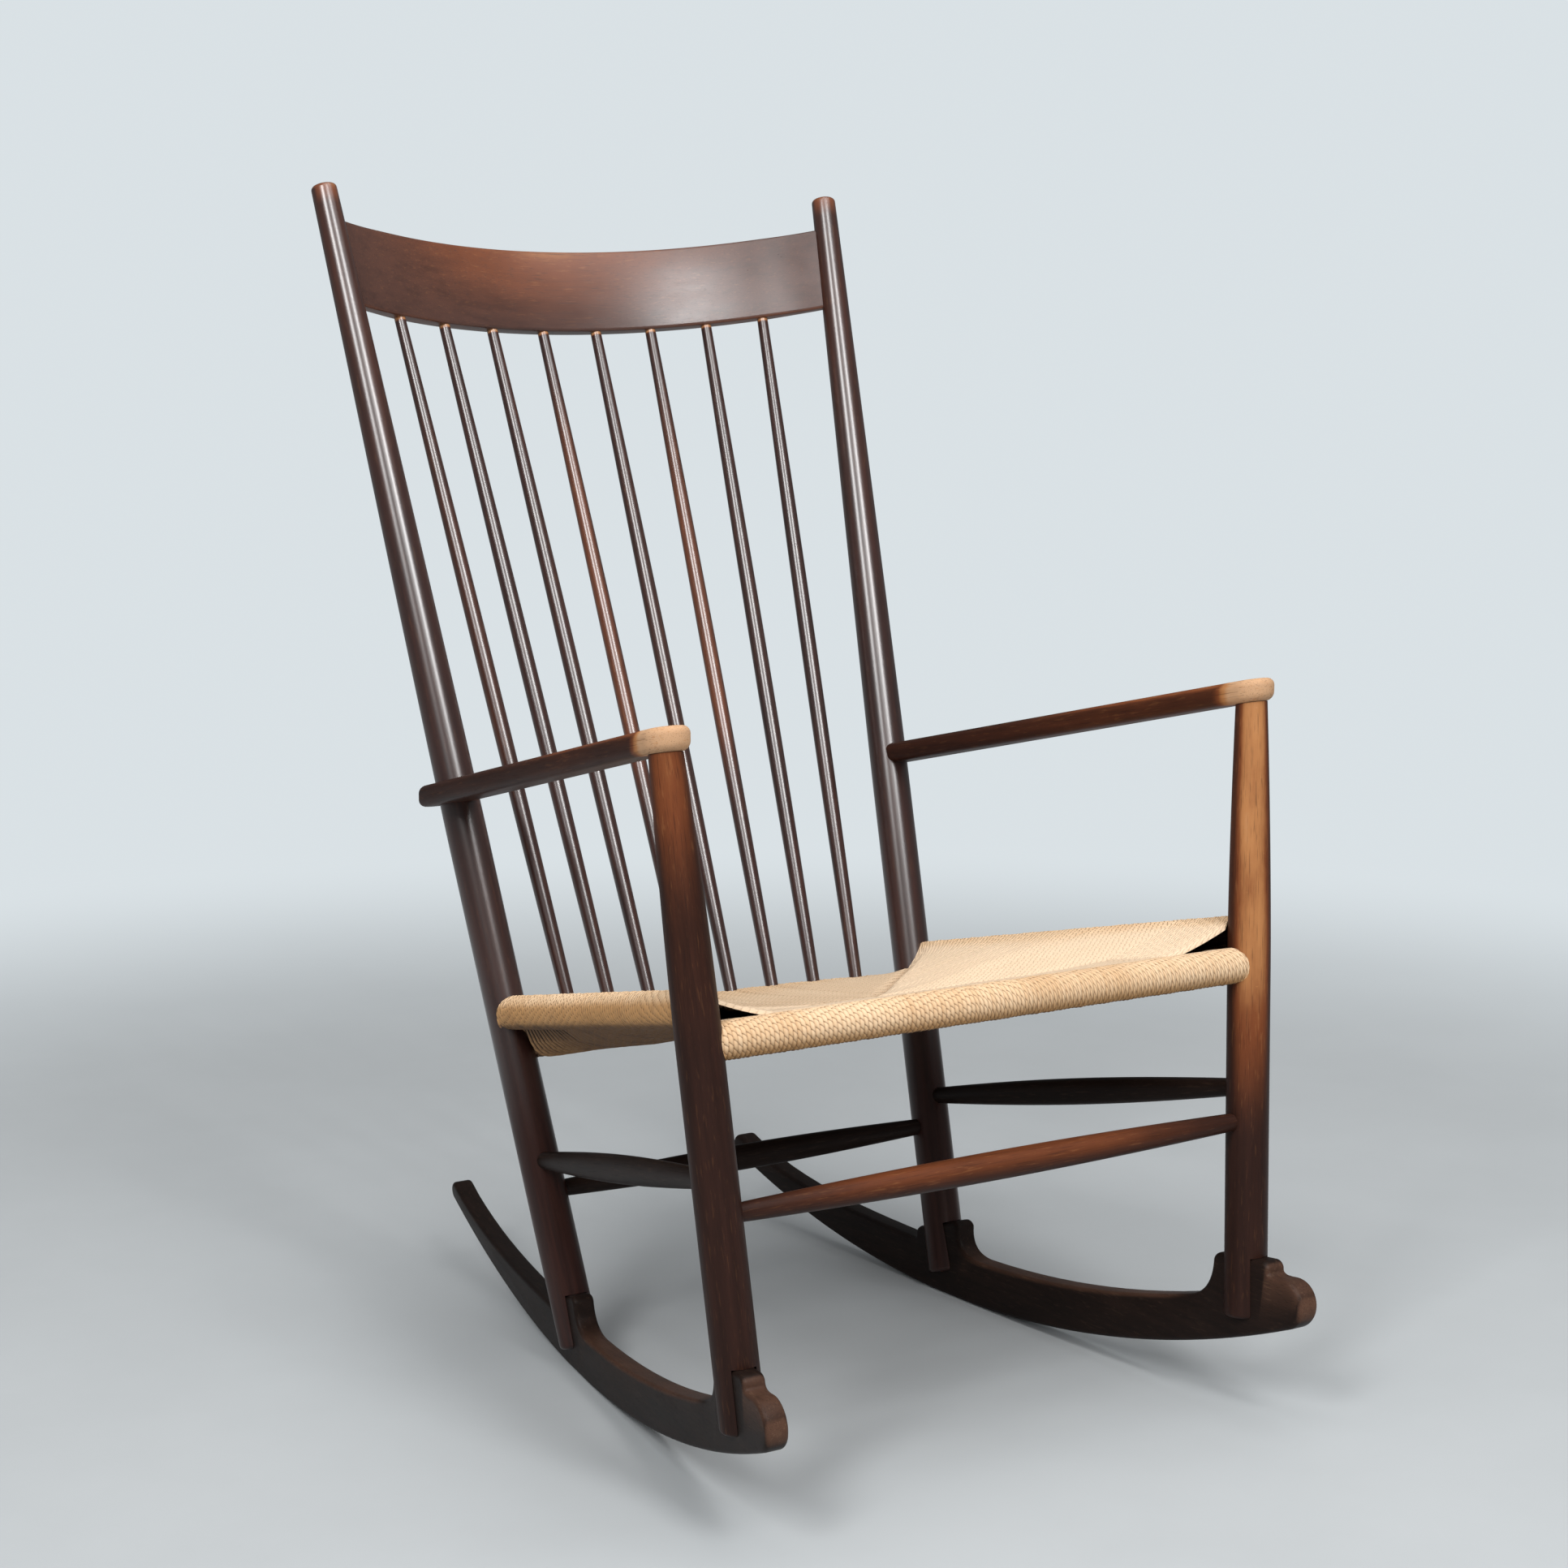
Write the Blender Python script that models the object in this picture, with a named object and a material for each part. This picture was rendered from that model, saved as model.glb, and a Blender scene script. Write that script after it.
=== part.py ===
"""Spindle back rocking chair with a woven cord seat, in metres.

The chair faces -Y and stands on Z = 0. Left and right are as seen from the front.
"""
import math

import bmesh
import bpy
from mathutils import Vector

for old_object in list(bpy.data.objects):
    bpy.data.objects.remove(old_object, do_unlink=True)

# Overall places, measured between the axes of the turned pieces
CHAIR_HEIGHT = 1.069
POST_TOP_SPREAD = 0.5565
POST_TOP_DEPTH = 0.3835
POST_FLOOR_SPREAD = 0.4013
POST_FLOOR_DEPTH = 0.0133
LEG_TOP_HEIGHT = 0.6145
LEG_TOP_SPREAD = 0.5765
LEG_TOP_DEPTH = -0.3106
LEG_FLOOR_SPREAD = 0.4950
LEG_FLOOR_DEPTH = -0.3740

# Clearances
FIT = 0.0003
SPINDLE_PASSAGE = 0.0008

# Runners
RUNNER_THICKNESS = 0.021
RUNNER_HEIGHT = 0.043
RUNNER_EDGE = 0.004
ROCKER_RADIUS = 1.055
CONTACT_DEPTH = 0.001
CONTACT_FLAT = 0.060
ROCKER_STEP = 0.042
NOSE_RADIUS = 0.0215
NOSE_DEPTH = -0.4145
NOSE_END_TURN = math.radians(82)
TAIL_DEPTH = 0.364
TAIL_HEIGHT = 0.019
EAR_CORNER = 0.008

# Front legs
LEG_DIAMETER = 0.0375
LEG_NECK_DIAMETER = 0.0275
LEG_TAPER_LENGTH = 0.235
LEG_TAPER_POWER = 1.7
LEG_SLOT_TOP = 0.137
LEG_CHEEK_LIFT = 0.0205
LEG_FRONT_EAR = 0.017
LEG_BACK_EAR = 0.010
LEG_BACK_FILLET = 0.026
LEG_TENON_DIAMETER = 0.018
LEG_TENON_LENGTH = 0.014

# Back posts
POST_DIAMETER = 0.0375
POST_TIP_DIAMETER = 0.0245
POST_TAPER_LENGTH = 0.63
POST_TAPER_POWER = 1.25
POST_SLOT_TOP = 0.064
POST_CHEEK_LIFT = 0.0195
POST_FRONT_EAR = 0.018
POST_BACK_EAR = 0.010
POST_FRONT_FILLET = 0.030
POST_BACK_FILLET = 0.014
TIP_DOME = 0.004
CHEEK_CHAMFER = 0.004

# Arms
ARM_THICKNESS = 0.020
ARM_FRONT_RADIUS = 0.0190
ARM_REAR_RADIUS = 0.0245
ARM_REAR_OFFSET = 0.012
ARM_REAR_HEIGHT = 0.509
ARM_REAR_OVERRUN = 0.002
ARM_EDGE = 0.006
ARM_NOTCH_REACH = 0.06
DOWEL_DIAMETER = 0.008
DOWEL_LENGTH = 0.024

# Crest rail
CREST_DROP = 0.031
CREST_HEIGHT = 0.080
CREST_THICKNESS = 0.015
CREST_END_THICKNESS = 0.011
CREST_END_LENGTH = 0.045
CREST_SAG = 0.084
CREST_SET_BACK = 0.000
CREST_EDGE = 0.003
CREST_HOUSING = 0.009

# Spindles
SPINDLE_PAIRS = 4
SPINDLE_TOP_PITCH = 0.0600
SPINDLE_FOOT_PITCH = 0.0446
SPINDLE_TOP_DIAMETER = 0.0108
SPINDLE_BELLY_DIAMETER = 0.0160
SPINDLE_FOOT_DIAMETER = 0.0125
SPINDLE_BELLY_PLACE = 0.42
SPINDLE_TENON_DIAMETER = 0.0080
SPINDLE_TOP_DEPTH_IN = 0.018
SPINDLE_TOP_HOUSING = 0.002
SPINDLE_FOOT_DEPTH_IN = 0.012
SPINDLE_SHOULDER_LIFT = 0.002

# Seat rails and the cord wound round them
FRONT_RAIL_HEIGHT = 0.3900
SIDE_RAIL_FRONT_HEIGHT = 0.4172
SIDE_RAIL_BACK_HEIGHT = 0.3122
BACK_RAIL_HEIGHT = 0.2855
RAIL_RADIUS = 0.0105
RAIL_TENON_RADIUS = 0.0075
RAIL_NECK_LENGTH = 0.018
RAIL_DEPTH_IN = 0.012
BACK_RAIL_HALF_DEPTH = 0.0120
BACK_RAIL_FORWARD = 0.008
BACK_RAIL_BOW = 0.029
BACK_RAIL_NECK_LENGTH = 0.040
CORD_LAYER = 0.0055
SEAT_DIP = 0.012
SEAT_DIP_POWER = 1.5
SEAT_UNDER_RISE = 0.010
SIDE_SLOPE_REACH = 0.16
SIDE_SLOPE_POWER = 1.4
SIDE_SLOPE_START = 0.03
FRONT_CORNER_FADE = 0.034
BACK_CORNER_FADE = 0.006
SLOPE_END_FADE = 0.120
CORNER_OPENING_LENGTH = 0.050
CORNER_OPENING_HEIGHT = 0.012
CORNER_OPENING_LIFT = 0.008
CORNER_OPENING_DEPTH = 0.030
ROOM_HALF_HEIGHT = 0.12

# Stretchers
FRONT_STRETCHER_HEIGHT = 0.2545
SIDE_STRETCHER_FRONT_HEIGHT = 0.283
SIDE_STRETCHER_BACK_HEIGHT = 0.182
BACK_STRETCHER_HEIGHT = 0.155
STRETCHER_END_RADIUS = 0.0078
STRETCHER_DEPTH_IN = 0.013
STRETCHER_SWELL_POWER = 0.9
FRONT_STRETCHER_SWELL = 0.0120
FLAT_STRETCHER_HALF_HEIGHT = 0.0125
FLAT_STRETCHER_HALF_WIDTH = 0.0085

# How finely the curves are cut
TURNED_SIDES = 20
TAPER_STEPS = 7
ROD_SIDES = 12
SPINDLE_SIDES = 10
SPINDLE_STEPS = 7
STRETCHER_STEPS = 7
CURVE_STEPS = 6
EDGE_STEPS = 3
CREST_EDGE_STEPS = 2
CREST_STEPS = 16
SEAT_STEPS_ACROSS = 12
SEAT_STEPS_DEEP = 10

LEFT, RIGHT = -1, 1
SIDES = {"left": LEFT, "right": RIGHT}
UP = Vector((0.0, 0.0, 1.0))
FORWARD_UP = Vector((0.0, 1.0, 0.0))
SMOOTH_ANGLE = math.radians(38)

# Finishes
DARK_WOOD = (0.040, 0.018, 0.013)
WORN_WOOD = (0.085, 0.036, 0.020)
BLACK_WOOD = (0.014, 0.010, 0.009)
KRAFT_CORD = (0.600, 0.400, 0.220)
LACQUER_ROUGHNESS = 0.35
CORD_ROUGHNESS = 0.85


def wood(name, colour, roughness):
    """Make one stained wood material."""
    material = bpy.data.materials.new(name)
    material.use_nodes = True
    shader = material.node_tree.nodes["Principled BSDF"]
    shader.inputs["Base Color"].default_value = (*colour, 1.0)
    shader.inputs["Roughness"].default_value = roughness
    shader.inputs["Metallic"].default_value = 0.0
    return material


ROOT = bpy.data.objects.new("rocking_chair", None)
bpy.context.scene.collection.objects.link(ROOT)


def add_object(name, mesh, colour, roughness=LACQUER_ROUGHNESS):
    """Link a finished mesh as one named piece under the root empty."""
    mesh.shade_smooth()
    mesh.set_sharp_from_angle(angle=SMOOTH_ANGLE)
    piece = bpy.data.objects.new(name, mesh)
    mesh.materials.append(wood(name + "_finish", colour, roughness))
    bpy.context.scene.collection.objects.link(piece)
    piece.parent = ROOT
    return piece


def add_cutter(name, mesh):
    """Link a mesh that only cuts other pieces."""
    cutter = bpy.data.objects.new(name, mesh)
    cutter.hide_render = True
    cutter.display_type = "WIRE"
    bpy.context.scene.collection.objects.link(cutter)
    cutter.parent = ROOT
    return cutter


def cut(piece, cutter):
    """Cut one piece by another solid."""
    modifier = piece.modifiers.new("cut_" + cutter.name, "BOOLEAN")
    modifier.operation = "DIFFERENCE"
    modifier.solver = "EXACT"
    modifier.object = cutter


def loft(name, rings):
    """Skin a row of equal rings of points and close both ends."""
    work = bmesh.new()
    loops = [[work.verts.new(point) for point in ring] for ring in rings]
    for first, second in zip(loops, loops[1:]):
        for index in range(len(first)):
            after = (index + 1) % len(first)
            work.faces.new((first[index], first[after], second[after], second[index]))
    work.faces.new(list(reversed(loops[0])))
    work.faces.new(loops[-1])
    bmesh.ops.recalc_face_normals(work, faces=work.faces)
    mesh = bpy.data.meshes.new(name)
    work.to_mesh(mesh)
    work.free()
    return mesh


def mix(first, second, share):
    """Blend two numbers or two points."""
    return first + (second - first) * share


def ease(share):
    """Blend smoothly from 0 to 1."""
    share = min(max(share, 0.0), 1.0)
    return share * share * (3.0 - 2.0 * share)


def cross_frame(direction, upward):
    """Give the sideways and upward directions of a rod's cross-section."""
    sideways = direction.cross(upward).normalized()
    return sideways, sideways.cross(direction).normalized()


def oval_ring(centre, sideways, upward, half_width, half_height, sides):
    """Give the points of one oval cross-section."""
    turns = [2.0 * math.pi * (index + 0.5) / sides for index in range(sides)]
    return [centre + sideways * (half_width * math.cos(turn)) + upward * (half_height * math.sin(turn))
            for turn in turns]


def rod(name, start, end, stations, sides, upward=UP):
    """Make a straight rod from stations of (distance from start, half width, half height)."""
    direction = (end - start).normalized()
    sideways, up = cross_frame(direction, upward)
    rings = [oval_ring(start + direction * distance, sideways, up, width, height, sides)
             for distance, width, height in stations]
    return loft(name, rings)


def round_stations(pairs):
    """Turn pairs of (distance, radius) into stations of a round rod."""
    return [(distance, radius, radius) for distance, radius in pairs]


# Axes of the turned pieces

def post_axis(side, height):
    """Give the point of a back post's axis at a height."""
    share = height / CHAIR_HEIGHT
    spread = mix(POST_FLOOR_SPREAD, POST_TOP_SPREAD, share) / 2.0
    return Vector((side * spread, mix(POST_FLOOR_DEPTH, POST_TOP_DEPTH, share), height))


def leg_axis(side, height):
    """Give the point of a front leg's axis at a height."""
    share = height / LEG_TOP_HEIGHT
    spread = mix(LEG_FLOOR_SPREAD, LEG_TOP_SPREAD, share) / 2.0
    return Vector((side * spread, mix(LEG_FLOOR_DEPTH, LEG_TOP_DEPTH, share), height))


def lean(axis_point):
    """Give the angle at which an axis leans back, seen from the side."""
    rise = axis_point(RIGHT, 1.0) - axis_point(RIGHT, 0.0)
    return math.atan2(rise.y, rise.z)


def arm_slope():
    """Give the fall of the arm per metre towards the back."""
    rear = post_axis(RIGHT, ARM_REAR_HEIGHT)
    return (LEG_TOP_HEIGHT + ARM_THICKNESS / 2.0 - ARM_REAR_HEIGHT) / (rear.y - LEG_TOP_DEPTH)


def rocker_height(depth):
    """Give the height of the runner's lower curve at a depth, with its contact flat on the floor."""
    def drop(distance):
        return ROCKER_RADIUS - math.sqrt(ROCKER_RADIUS ** 2 - distance ** 2)
    return drop(depth - CONTACT_DEPTH) - drop(CONTACT_FLAT / 2.0)


def side_plane(depth, height):
    """Give the distance from the middle to a runner's middle plane, canted with the legs."""
    leg = leg_axis(RIGHT, (LEG_SLOT_TOP + rocker_height(LEG_FLOOR_DEPTH)) / 2.0)
    post = post_axis(RIGHT, POST_SLOT_TOP / 2.0)
    cants = [(axis_point(RIGHT, 1.0) - axis_point(RIGHT, 0.0)).x for axis_point in (leg_axis, post_axis)]
    cant = sum(cants) / 2.0
    toe = ((post.x - cant * post.z) - (leg.x - cant * leg.z)) / (post.y - leg.y)
    return leg.x + toe * (depth - leg.y) + cant * (height - leg.z)


def leg_radius(below_top):
    """Give the front leg's radius at a distance below its shoulder."""
    share = min(below_top / LEG_TAPER_LENGTH, 1.0)
    return mix(LEG_NECK_DIAMETER, LEG_DIAMETER, 1.0 - (1.0 - share) ** LEG_TAPER_POWER) / 2.0


def post_radius(below_top):
    """Give the back post's radius at a distance below its tip."""
    share = min(below_top / POST_TAPER_LENGTH, 1.0)
    return mix(POST_TIP_DIAMETER, POST_DIAMETER, 1.0 - (1.0 - share) ** POST_TAPER_POWER) / 2.0


# Runners

def arc(centre, radius, first_turn, last_turn, pieces):
    """Give points along an arc in the plane of depth and height."""
    turns = [mix(first_turn, last_turn, index / pieces) for index in range(pieces + 1)]
    return [(centre[0] + radius * math.cos(turn), centre[1] + radius * math.sin(turn)) for turn in turns]


def ear_outline(axis_point, radius, slot_top, front_ear, back_ear):
    """Outline the runner's raised block at a leg, square to the leg, with rounded upper corners."""
    tilt = lean(axis_point)
    base = axis_point(RIGHT, slot_top)

    def place(aside, rise):
        return (base.y + math.cos(tilt) * aside + math.sin(tilt) * rise,
                base.z - math.sin(tilt) * aside + math.cos(tilt) * rise)

    front, back = -(radius + front_ear), radius + back_ear
    quarter = [math.pi / 2.0 * index / CURVE_STEPS for index in range(CURVE_STEPS + 1)]
    points = [place(front + EAR_CORNER * (1.0 - math.cos(turn)), EAR_CORNER * (math.sin(turn) - 1.0))
              for turn in quarter]
    points += [place(back - EAR_CORNER * (1.0 - math.cos(turn)), EAR_CORNER * (math.sin(turn) - 1.0))
               for turn in reversed(quarter)]
    return points


def top_edge(depth):
    """Give the height of the runner's upper edge between and behind the legs."""
    back = post_axis(RIGHT, POST_SLOT_TOP).y
    share = ease((depth - back) / (TAIL_DEPTH - back))
    return rocker_height(depth) + mix(RUNNER_HEIGHT, TAIL_HEIGHT, share)


def bend(start, knee, end):
    """Give the inner points of a curve that leaves start towards knee and comes from it to end."""
    points = []
    for index in range(1, CURVE_STEPS):
        share = index / CURVE_STEPS
        near = (mix(start[0], knee[0], share), mix(start[1], knee[1], share))
        far = (mix(knee[0], end[0], share), mix(knee[1], end[1], share))
        points.append((mix(near[0], far[0], share), mix(near[1], far[1], share)))
    return points


def fillet(ear_point, reach):
    """Curve from an ear's upright edge into the runner's upper edge, a signed reach away."""
    foot = (ear_point[0] + reach, top_edge(ear_point[0] + reach))
    knee = (ear_point[0], top_edge(ear_point[0]))
    return bend(ear_point, knee, foot) + [foot]


def along_top(start, stop):
    """Give points of the runner's upper edge between two depths."""
    return [(depth, top_edge(depth)) for depth in
            (mix(start, stop, index / CURVE_STEPS) for index in range(1, CURVE_STEPS))]


def end_circle(depth, radius):
    """Give the centre and the turn of a circle that touches the runner's lower curve from inside."""
    turn = math.asin((depth - CONTACT_DEPTH) / (ROCKER_RADIUS - radius))
    rise = rocker_height(CONTACT_DEPTH)
    return (depth, rise + ROCKER_RADIUS - (ROCKER_RADIUS - radius) * math.cos(turn)), turn


def lower_curve(nose_turn, tail_turn):
    """Give the facets of the lower curve from tail to nose, with one flat facet on the floor."""
    step = ROCKER_STEP / ROCKER_RADIUS
    first = math.asin(CONTACT_FLAT / 2.0 / ROCKER_RADIUS)
    turns = []
    for limit, sign in ((tail_turn, 1.0), (nose_turn, -1.0)):
        count = max(round((abs(limit) - first) / step), 1)
        row = [sign * mix(first, abs(limit), index / count) for index in range(count)]
        turns += reversed(row) if sign > 0 else row
    return [(CONTACT_DEPTH + ROCKER_RADIUS * math.sin(turn),
             rocker_height(CONTACT_DEPTH + ROCKER_RADIUS * math.sin(turn))) for turn in turns]


def runner_outline():
    """Outline a runner in the plane of depth and height, nose first along the top."""
    leg_ear = ear_outline(leg_axis, LEG_DIAMETER / 2.0, LEG_SLOT_TOP - FIT,
                          LEG_FRONT_EAR, LEG_BACK_EAR)
    post_ear = ear_outline(post_axis, POST_DIAMETER / 2.0, POST_SLOT_TOP - FIT,
                           POST_FRONT_EAR, POST_BACK_EAR)

    nose, nose_turn = end_circle(NOSE_DEPTH, NOSE_RADIUS)
    low_turn = math.pi * 1.5 + nose_turn
    outline = arc(nose, NOSE_RADIUS, low_turn, NOSE_END_TURN, 2 * CURVE_STEPS)
    rim = outline[-1]
    knee = (leg_ear[0][0], rim[1] - (leg_ear[0][0] - rim[0]) / math.tan(NOSE_END_TURN))
    outline += bend(rim, knee, leg_ear[0])

    outline += leg_ear
    outline += fillet(leg_ear[-1], LEG_BACK_FILLET)
    front_fillet = fillet(post_ear[0], -POST_FRONT_FILLET)
    outline += along_top(outline[-1][0], front_fillet[-1][0])
    outline += reversed(front_fillet)
    outline += post_ear
    outline += fillet(post_ear[-1], POST_BACK_FILLET)

    tail_radius = TAIL_HEIGHT / 2.0
    tail, tail_turn = end_circle(TAIL_DEPTH - tail_radius, tail_radius)
    outline += along_top(outline[-1][0], tail[0])
    quarter = math.pi / 2.0
    outline += arc(tail, tail_radius, tail_turn + quarter, tail_turn - quarter, CURVE_STEPS)
    outline += lower_curve(nose_turn, tail_turn)
    return outline


def shrink(outline, amount):
    """Move each point of an outline inwards along its own normal."""
    count = len(outline)
    moved = []
    for index, (depth, height) in enumerate(outline):
        before, after = outline[index - 1], outline[(index + 1) % count]
        run, rise = after[0] - before[0], after[1] - before[1]
        length = math.hypot(run, rise)
        moved.append((depth + amount * rise / length, height - amount * run / length))
    return moved


def runner_mesh(name, side):
    """Skin a runner between its two flat faces, with eased edges."""
    outline = runner_outline()
    inner = shrink(outline, RUNNER_EDGE)
    half = RUNNER_THICKNESS / 2.0
    layers = [(inner, -half), (outline, RUNNER_EDGE - half), (outline, half - RUNNER_EDGE), (inner, half)]
    rings = [[Vector((side * (side_plane(*point) + offset), *point)) for point in layer]
             for layer, offset in layers]
    return loft(name, rings)


def slot_mesh(name, side, axis_point, radius, slot_top):
    """Make the cutter of the slot that straddles a runner."""
    tilt = lean(axis_point)
    along = Vector((0.0, math.sin(tilt), math.cos(tilt)))
    across = Vector((0.0, math.cos(tilt), -math.sin(tilt)))
    top = axis_point(side, slot_top)
    half = RUNNER_THICKNESS / 2.0 + FIT
    reach = radius * 2.0
    corners = [top + across * aside + along * rise for aside, rise in
               ((-reach, 0.0), (reach, 0.0), (reach, -slot_top - reach), (-reach, -slot_top - reach))]
    rings = [[Vector((side * (side_plane(point.y, point.z) + offset), point.y, point.z)) for point in corners]
             for offset in (-half, half)]
    return loft(name, rings)


# Turned legs and posts

def seat_on_arm(ring, direction):
    """Slide a ring's points along the leg until they lie just under the arm."""
    slope = arm_slope()
    moved = []
    for point in ring:
        gap = arm_underside(point.y) - FIT - point.z
        moved.append(point + direction * (gap / (direction.z + slope * direction.y)))
    return moved


def leg_mesh(name, side):
    """Turn a front leg with its tenon for the arm, a sloped shoulder and a chamfered foot."""
    top = leg_axis(side, LEG_TOP_HEIGHT)
    foot_depth = leg_axis(side, LEG_SLOT_TOP).y
    foot = leg_axis(side, rocker_height(foot_depth) + LEG_CHEEK_LIFT)
    down = (foot - top).normalized()
    sideways, upward = cross_frame(down, FORWARD_UP)

    def ring(distance, radius):
        return oval_ring(top + down * distance, sideways, upward, radius, radius, TURNED_SIDES)

    length = (top - foot).length
    tenon, foot_radius = LEG_TENON_DIAMETER / 2.0, LEG_DIAMETER / 2.0
    rings = [ring(-LEG_TENON_LENGTH, tenon)]
    rings += [seat_on_arm(ring(0.0, radius), down) for radius in (tenon, LEG_NECK_DIAMETER / 2.0)]
    taper = [LEG_TAPER_LENGTH * index / TAPER_STEPS for index in range(1, TAPER_STEPS + 1)]
    rings += [ring(distance, leg_radius(distance)) for distance in taper]
    rings += [ring(length - CHEEK_CHAMFER, foot_radius), ring(length, foot_radius - CHEEK_CHAMFER)]
    return loft(name, rings)


def post_mesh(name, side):
    """Turn a back post with a softly domed tip and a chamfered foot."""
    top = post_axis(side, CHAIR_HEIGHT)
    foot_depth = post_axis(side, POST_SLOT_TOP / 2.0).y
    foot = post_axis(side, rocker_height(foot_depth) + POST_CHEEK_LIFT)
    length = (top - foot).length
    foot_radius, tip = POST_DIAMETER / 2.0, POST_TIP_DIAMETER / 2.0
    dome = [math.pi / 2.0 * index / EDGE_STEPS for index in range(1, EDGE_STEPS + 1)]
    stations = [(TIP_DOME * (1.0 - math.cos(turn)), tip - TIP_DOME * (1.0 - math.sin(turn)))
                for turn in dome]
    taper = [mix(TIP_DOME, POST_TAPER_LENGTH, index / TAPER_STEPS) for index in range(1, TAPER_STEPS + 1)]
    stations += [(distance, post_radius(distance)) for distance in taper]
    stations += [(length - CHEEK_CHAMFER, foot_radius), (length, foot_radius - CHEEK_CHAMFER)]
    return rod(name, top, foot, round_stations(stations), TURNED_SIDES, FORWARD_UP)


def round_cutter(name, start, end, radius, sides, upward):
    """Make a straight round cutter."""
    length = (end - start).length
    mesh = rod(name, start, end, round_stations([(0.0, radius), (length, radius)]), sides, upward)
    return add_cutter(name, mesh)


# Arms

def arm_middle(side, share):
    """Give the arm's centre line from the leg to the post, in plan."""
    front = leg_axis(side, LEG_TOP_HEIGHT)
    rear = post_axis(side, ARM_REAR_HEIGHT)
    rear = Vector((rear.x + side * ARM_REAR_OFFSET, rear.y + ARM_REAR_OVERRUN, rear.z))
    return mix(front, rear, share)


def arm_underside(depth):
    """Give the height of the arm's lower face at a depth."""
    return LEG_TOP_HEIGHT + FIT - arm_slope() * (depth - LEG_TOP_DEPTH)


def arm_outline(side, inset):
    """Outline an arm in plan, round at both ends."""
    front, rear = arm_middle(side, 0.0), arm_middle(side, 1.0)
    along = rear - front
    along.z = 0.0
    along.normalize()
    outward = Vector((-along.y, along.x, 0.0))
    half_turn = 2 * CURVE_STEPS - 2

    def end(centre, radius, first_turn):
        turns = [first_turn + math.pi * index / half_turn for index in range(half_turn + 1)]
        return [centre + along * (radius * math.cos(turn)) + outward * (radius * math.sin(turn))
                for turn in turns]

    return (end(front, ARM_FRONT_RADIUS - inset, math.pi / 2.0)
            + end(rear, ARM_REAR_RADIUS - inset, -math.pi / 2.0))


def arm_mesh(name, side):
    """Skin an arm between its faces with rounded edges."""
    rings = []
    for edge_height in (ARM_EDGE, ARM_THICKNESS - ARM_EDGE):
        upper = edge_height > ARM_THICKNESS / 2.0
        for index in range(EDGE_STEPS + 1):
            angle = math.pi / 2.0 * (index / EDGE_STEPS - (0.0 if upper else 1.0))
            inset = ARM_EDGE * (1.0 - math.cos(angle))
            lift = edge_height + ARM_EDGE * math.sin(angle)
            rings.append([Vector((point.x, point.y, arm_underside(point.y) + lift))
                          for point in arm_outline(side, inset)])
    return loft(name, rings)


# Crest rail

def back_directions():
    """Give the back's upward and rearward directions."""
    rise = (post_axis(RIGHT, CHAIR_HEIGHT) - post_axis(RIGHT, 0.0))
    rise.x = 0.0
    rise.normalize()
    return rise, Vector((0.0, rise.z, -rise.y))


def crest_end():
    """Give the point of the post's axis at the crest's middle height, and the post's radius there."""
    middle = post_axis(RIGHT, CHAIR_HEIGHT - CREST_DROP - CREST_HEIGHT / 2.0)
    below = (CHAIR_HEIGHT - middle.z) / back_directions()[0].z
    return middle, post_radius(below)


def crest_bend():
    """Give the radius of the crest's bend."""
    half = crest_end()[0].x
    return (half ** 2 + CREST_SAG ** 2) / (2.0 * CREST_SAG)


def crest_point(across):
    """Give the crest's mid point and rearward normal at a distance from the middle."""
    rearward = back_directions()[1]
    end = crest_end()[0]
    radius = crest_bend()
    sag = math.sqrt(radius ** 2 - across ** 2) - (radius - CREST_SAG)
    centre = Vector((across, end.y, end.z)) + rearward * (sag + CREST_SET_BACK)
    normal = Vector((across / radius, 0.0, 0.0)) + rearward * math.sqrt(1.0 - (across / radius) ** 2)
    return centre, normal


def crest_half_height():
    """Give half the crest's height along the rake."""
    return CREST_HEIGHT / 2.0 / back_directions()[0].z


def crest_ring(across, extra):
    """Give one cross-section of the crest, thinner near its ends and leaning out with the posts."""
    rise = back_directions()[0]
    splay = (post_axis(RIGHT, 1.0) - post_axis(RIGHT, 0.0)).x * rise.z * across / crest_end()[0].x
    upward = rise + Vector((splay, 0.0, 0.0))
    centre, normal = crest_point(across)
    near_end = ease((abs(across) - crest_start() + CREST_END_LENGTH) / CREST_END_LENGTH)
    half_thickness = mix(CREST_THICKNESS, CREST_END_THICKNESS, near_end) / 2.0 + extra
    half_height = crest_half_height() + extra
    ring = []
    for corner, (out, high) in enumerate(((1, 1), (-1, 1), (-1, -1), (1, -1))):
        for step in range(CREST_EDGE_STEPS + 1):
            turn = math.pi / 2.0 * (corner + step / CREST_EDGE_STEPS)
            rearward = out * (half_thickness - CREST_EDGE) + CREST_EDGE * math.cos(turn)
            along = high * (half_height - CREST_EDGE) + CREST_EDGE * math.sin(turn)
            ring.append(centre + normal * rearward + upward * along)
    return ring


def crest_start():
    """Give the distance from the middle at which the crest's straight ends begin."""
    middle, radius = crest_end()
    return middle.x - 2.0 * radius


def crest_tip():
    """Give the distance from the middle at which the crest ends inside its posts."""
    middle, radius = crest_end()
    return middle.x - radius + CREST_HOUSING


def crest_mesh(name):
    """Skin the bent crest, whose ends are housed in the posts."""
    start, tip = crest_start(), crest_tip()
    places = [mix(-start, start, index / CREST_STEPS) for index in range(CREST_STEPS + 1)]
    return loft(name, [crest_ring(across, 0.0) for across in [-tip] + places + [tip]])


def crest_mortise(name, side):
    """Make the cutter of a crest end's mortise in a post."""
    rings = [crest_ring(side * across, FIT) for across in (crest_start(), crest_tip() + FIT)]
    return add_cutter(name, loft(name, rings))


# Seat rails

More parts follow.
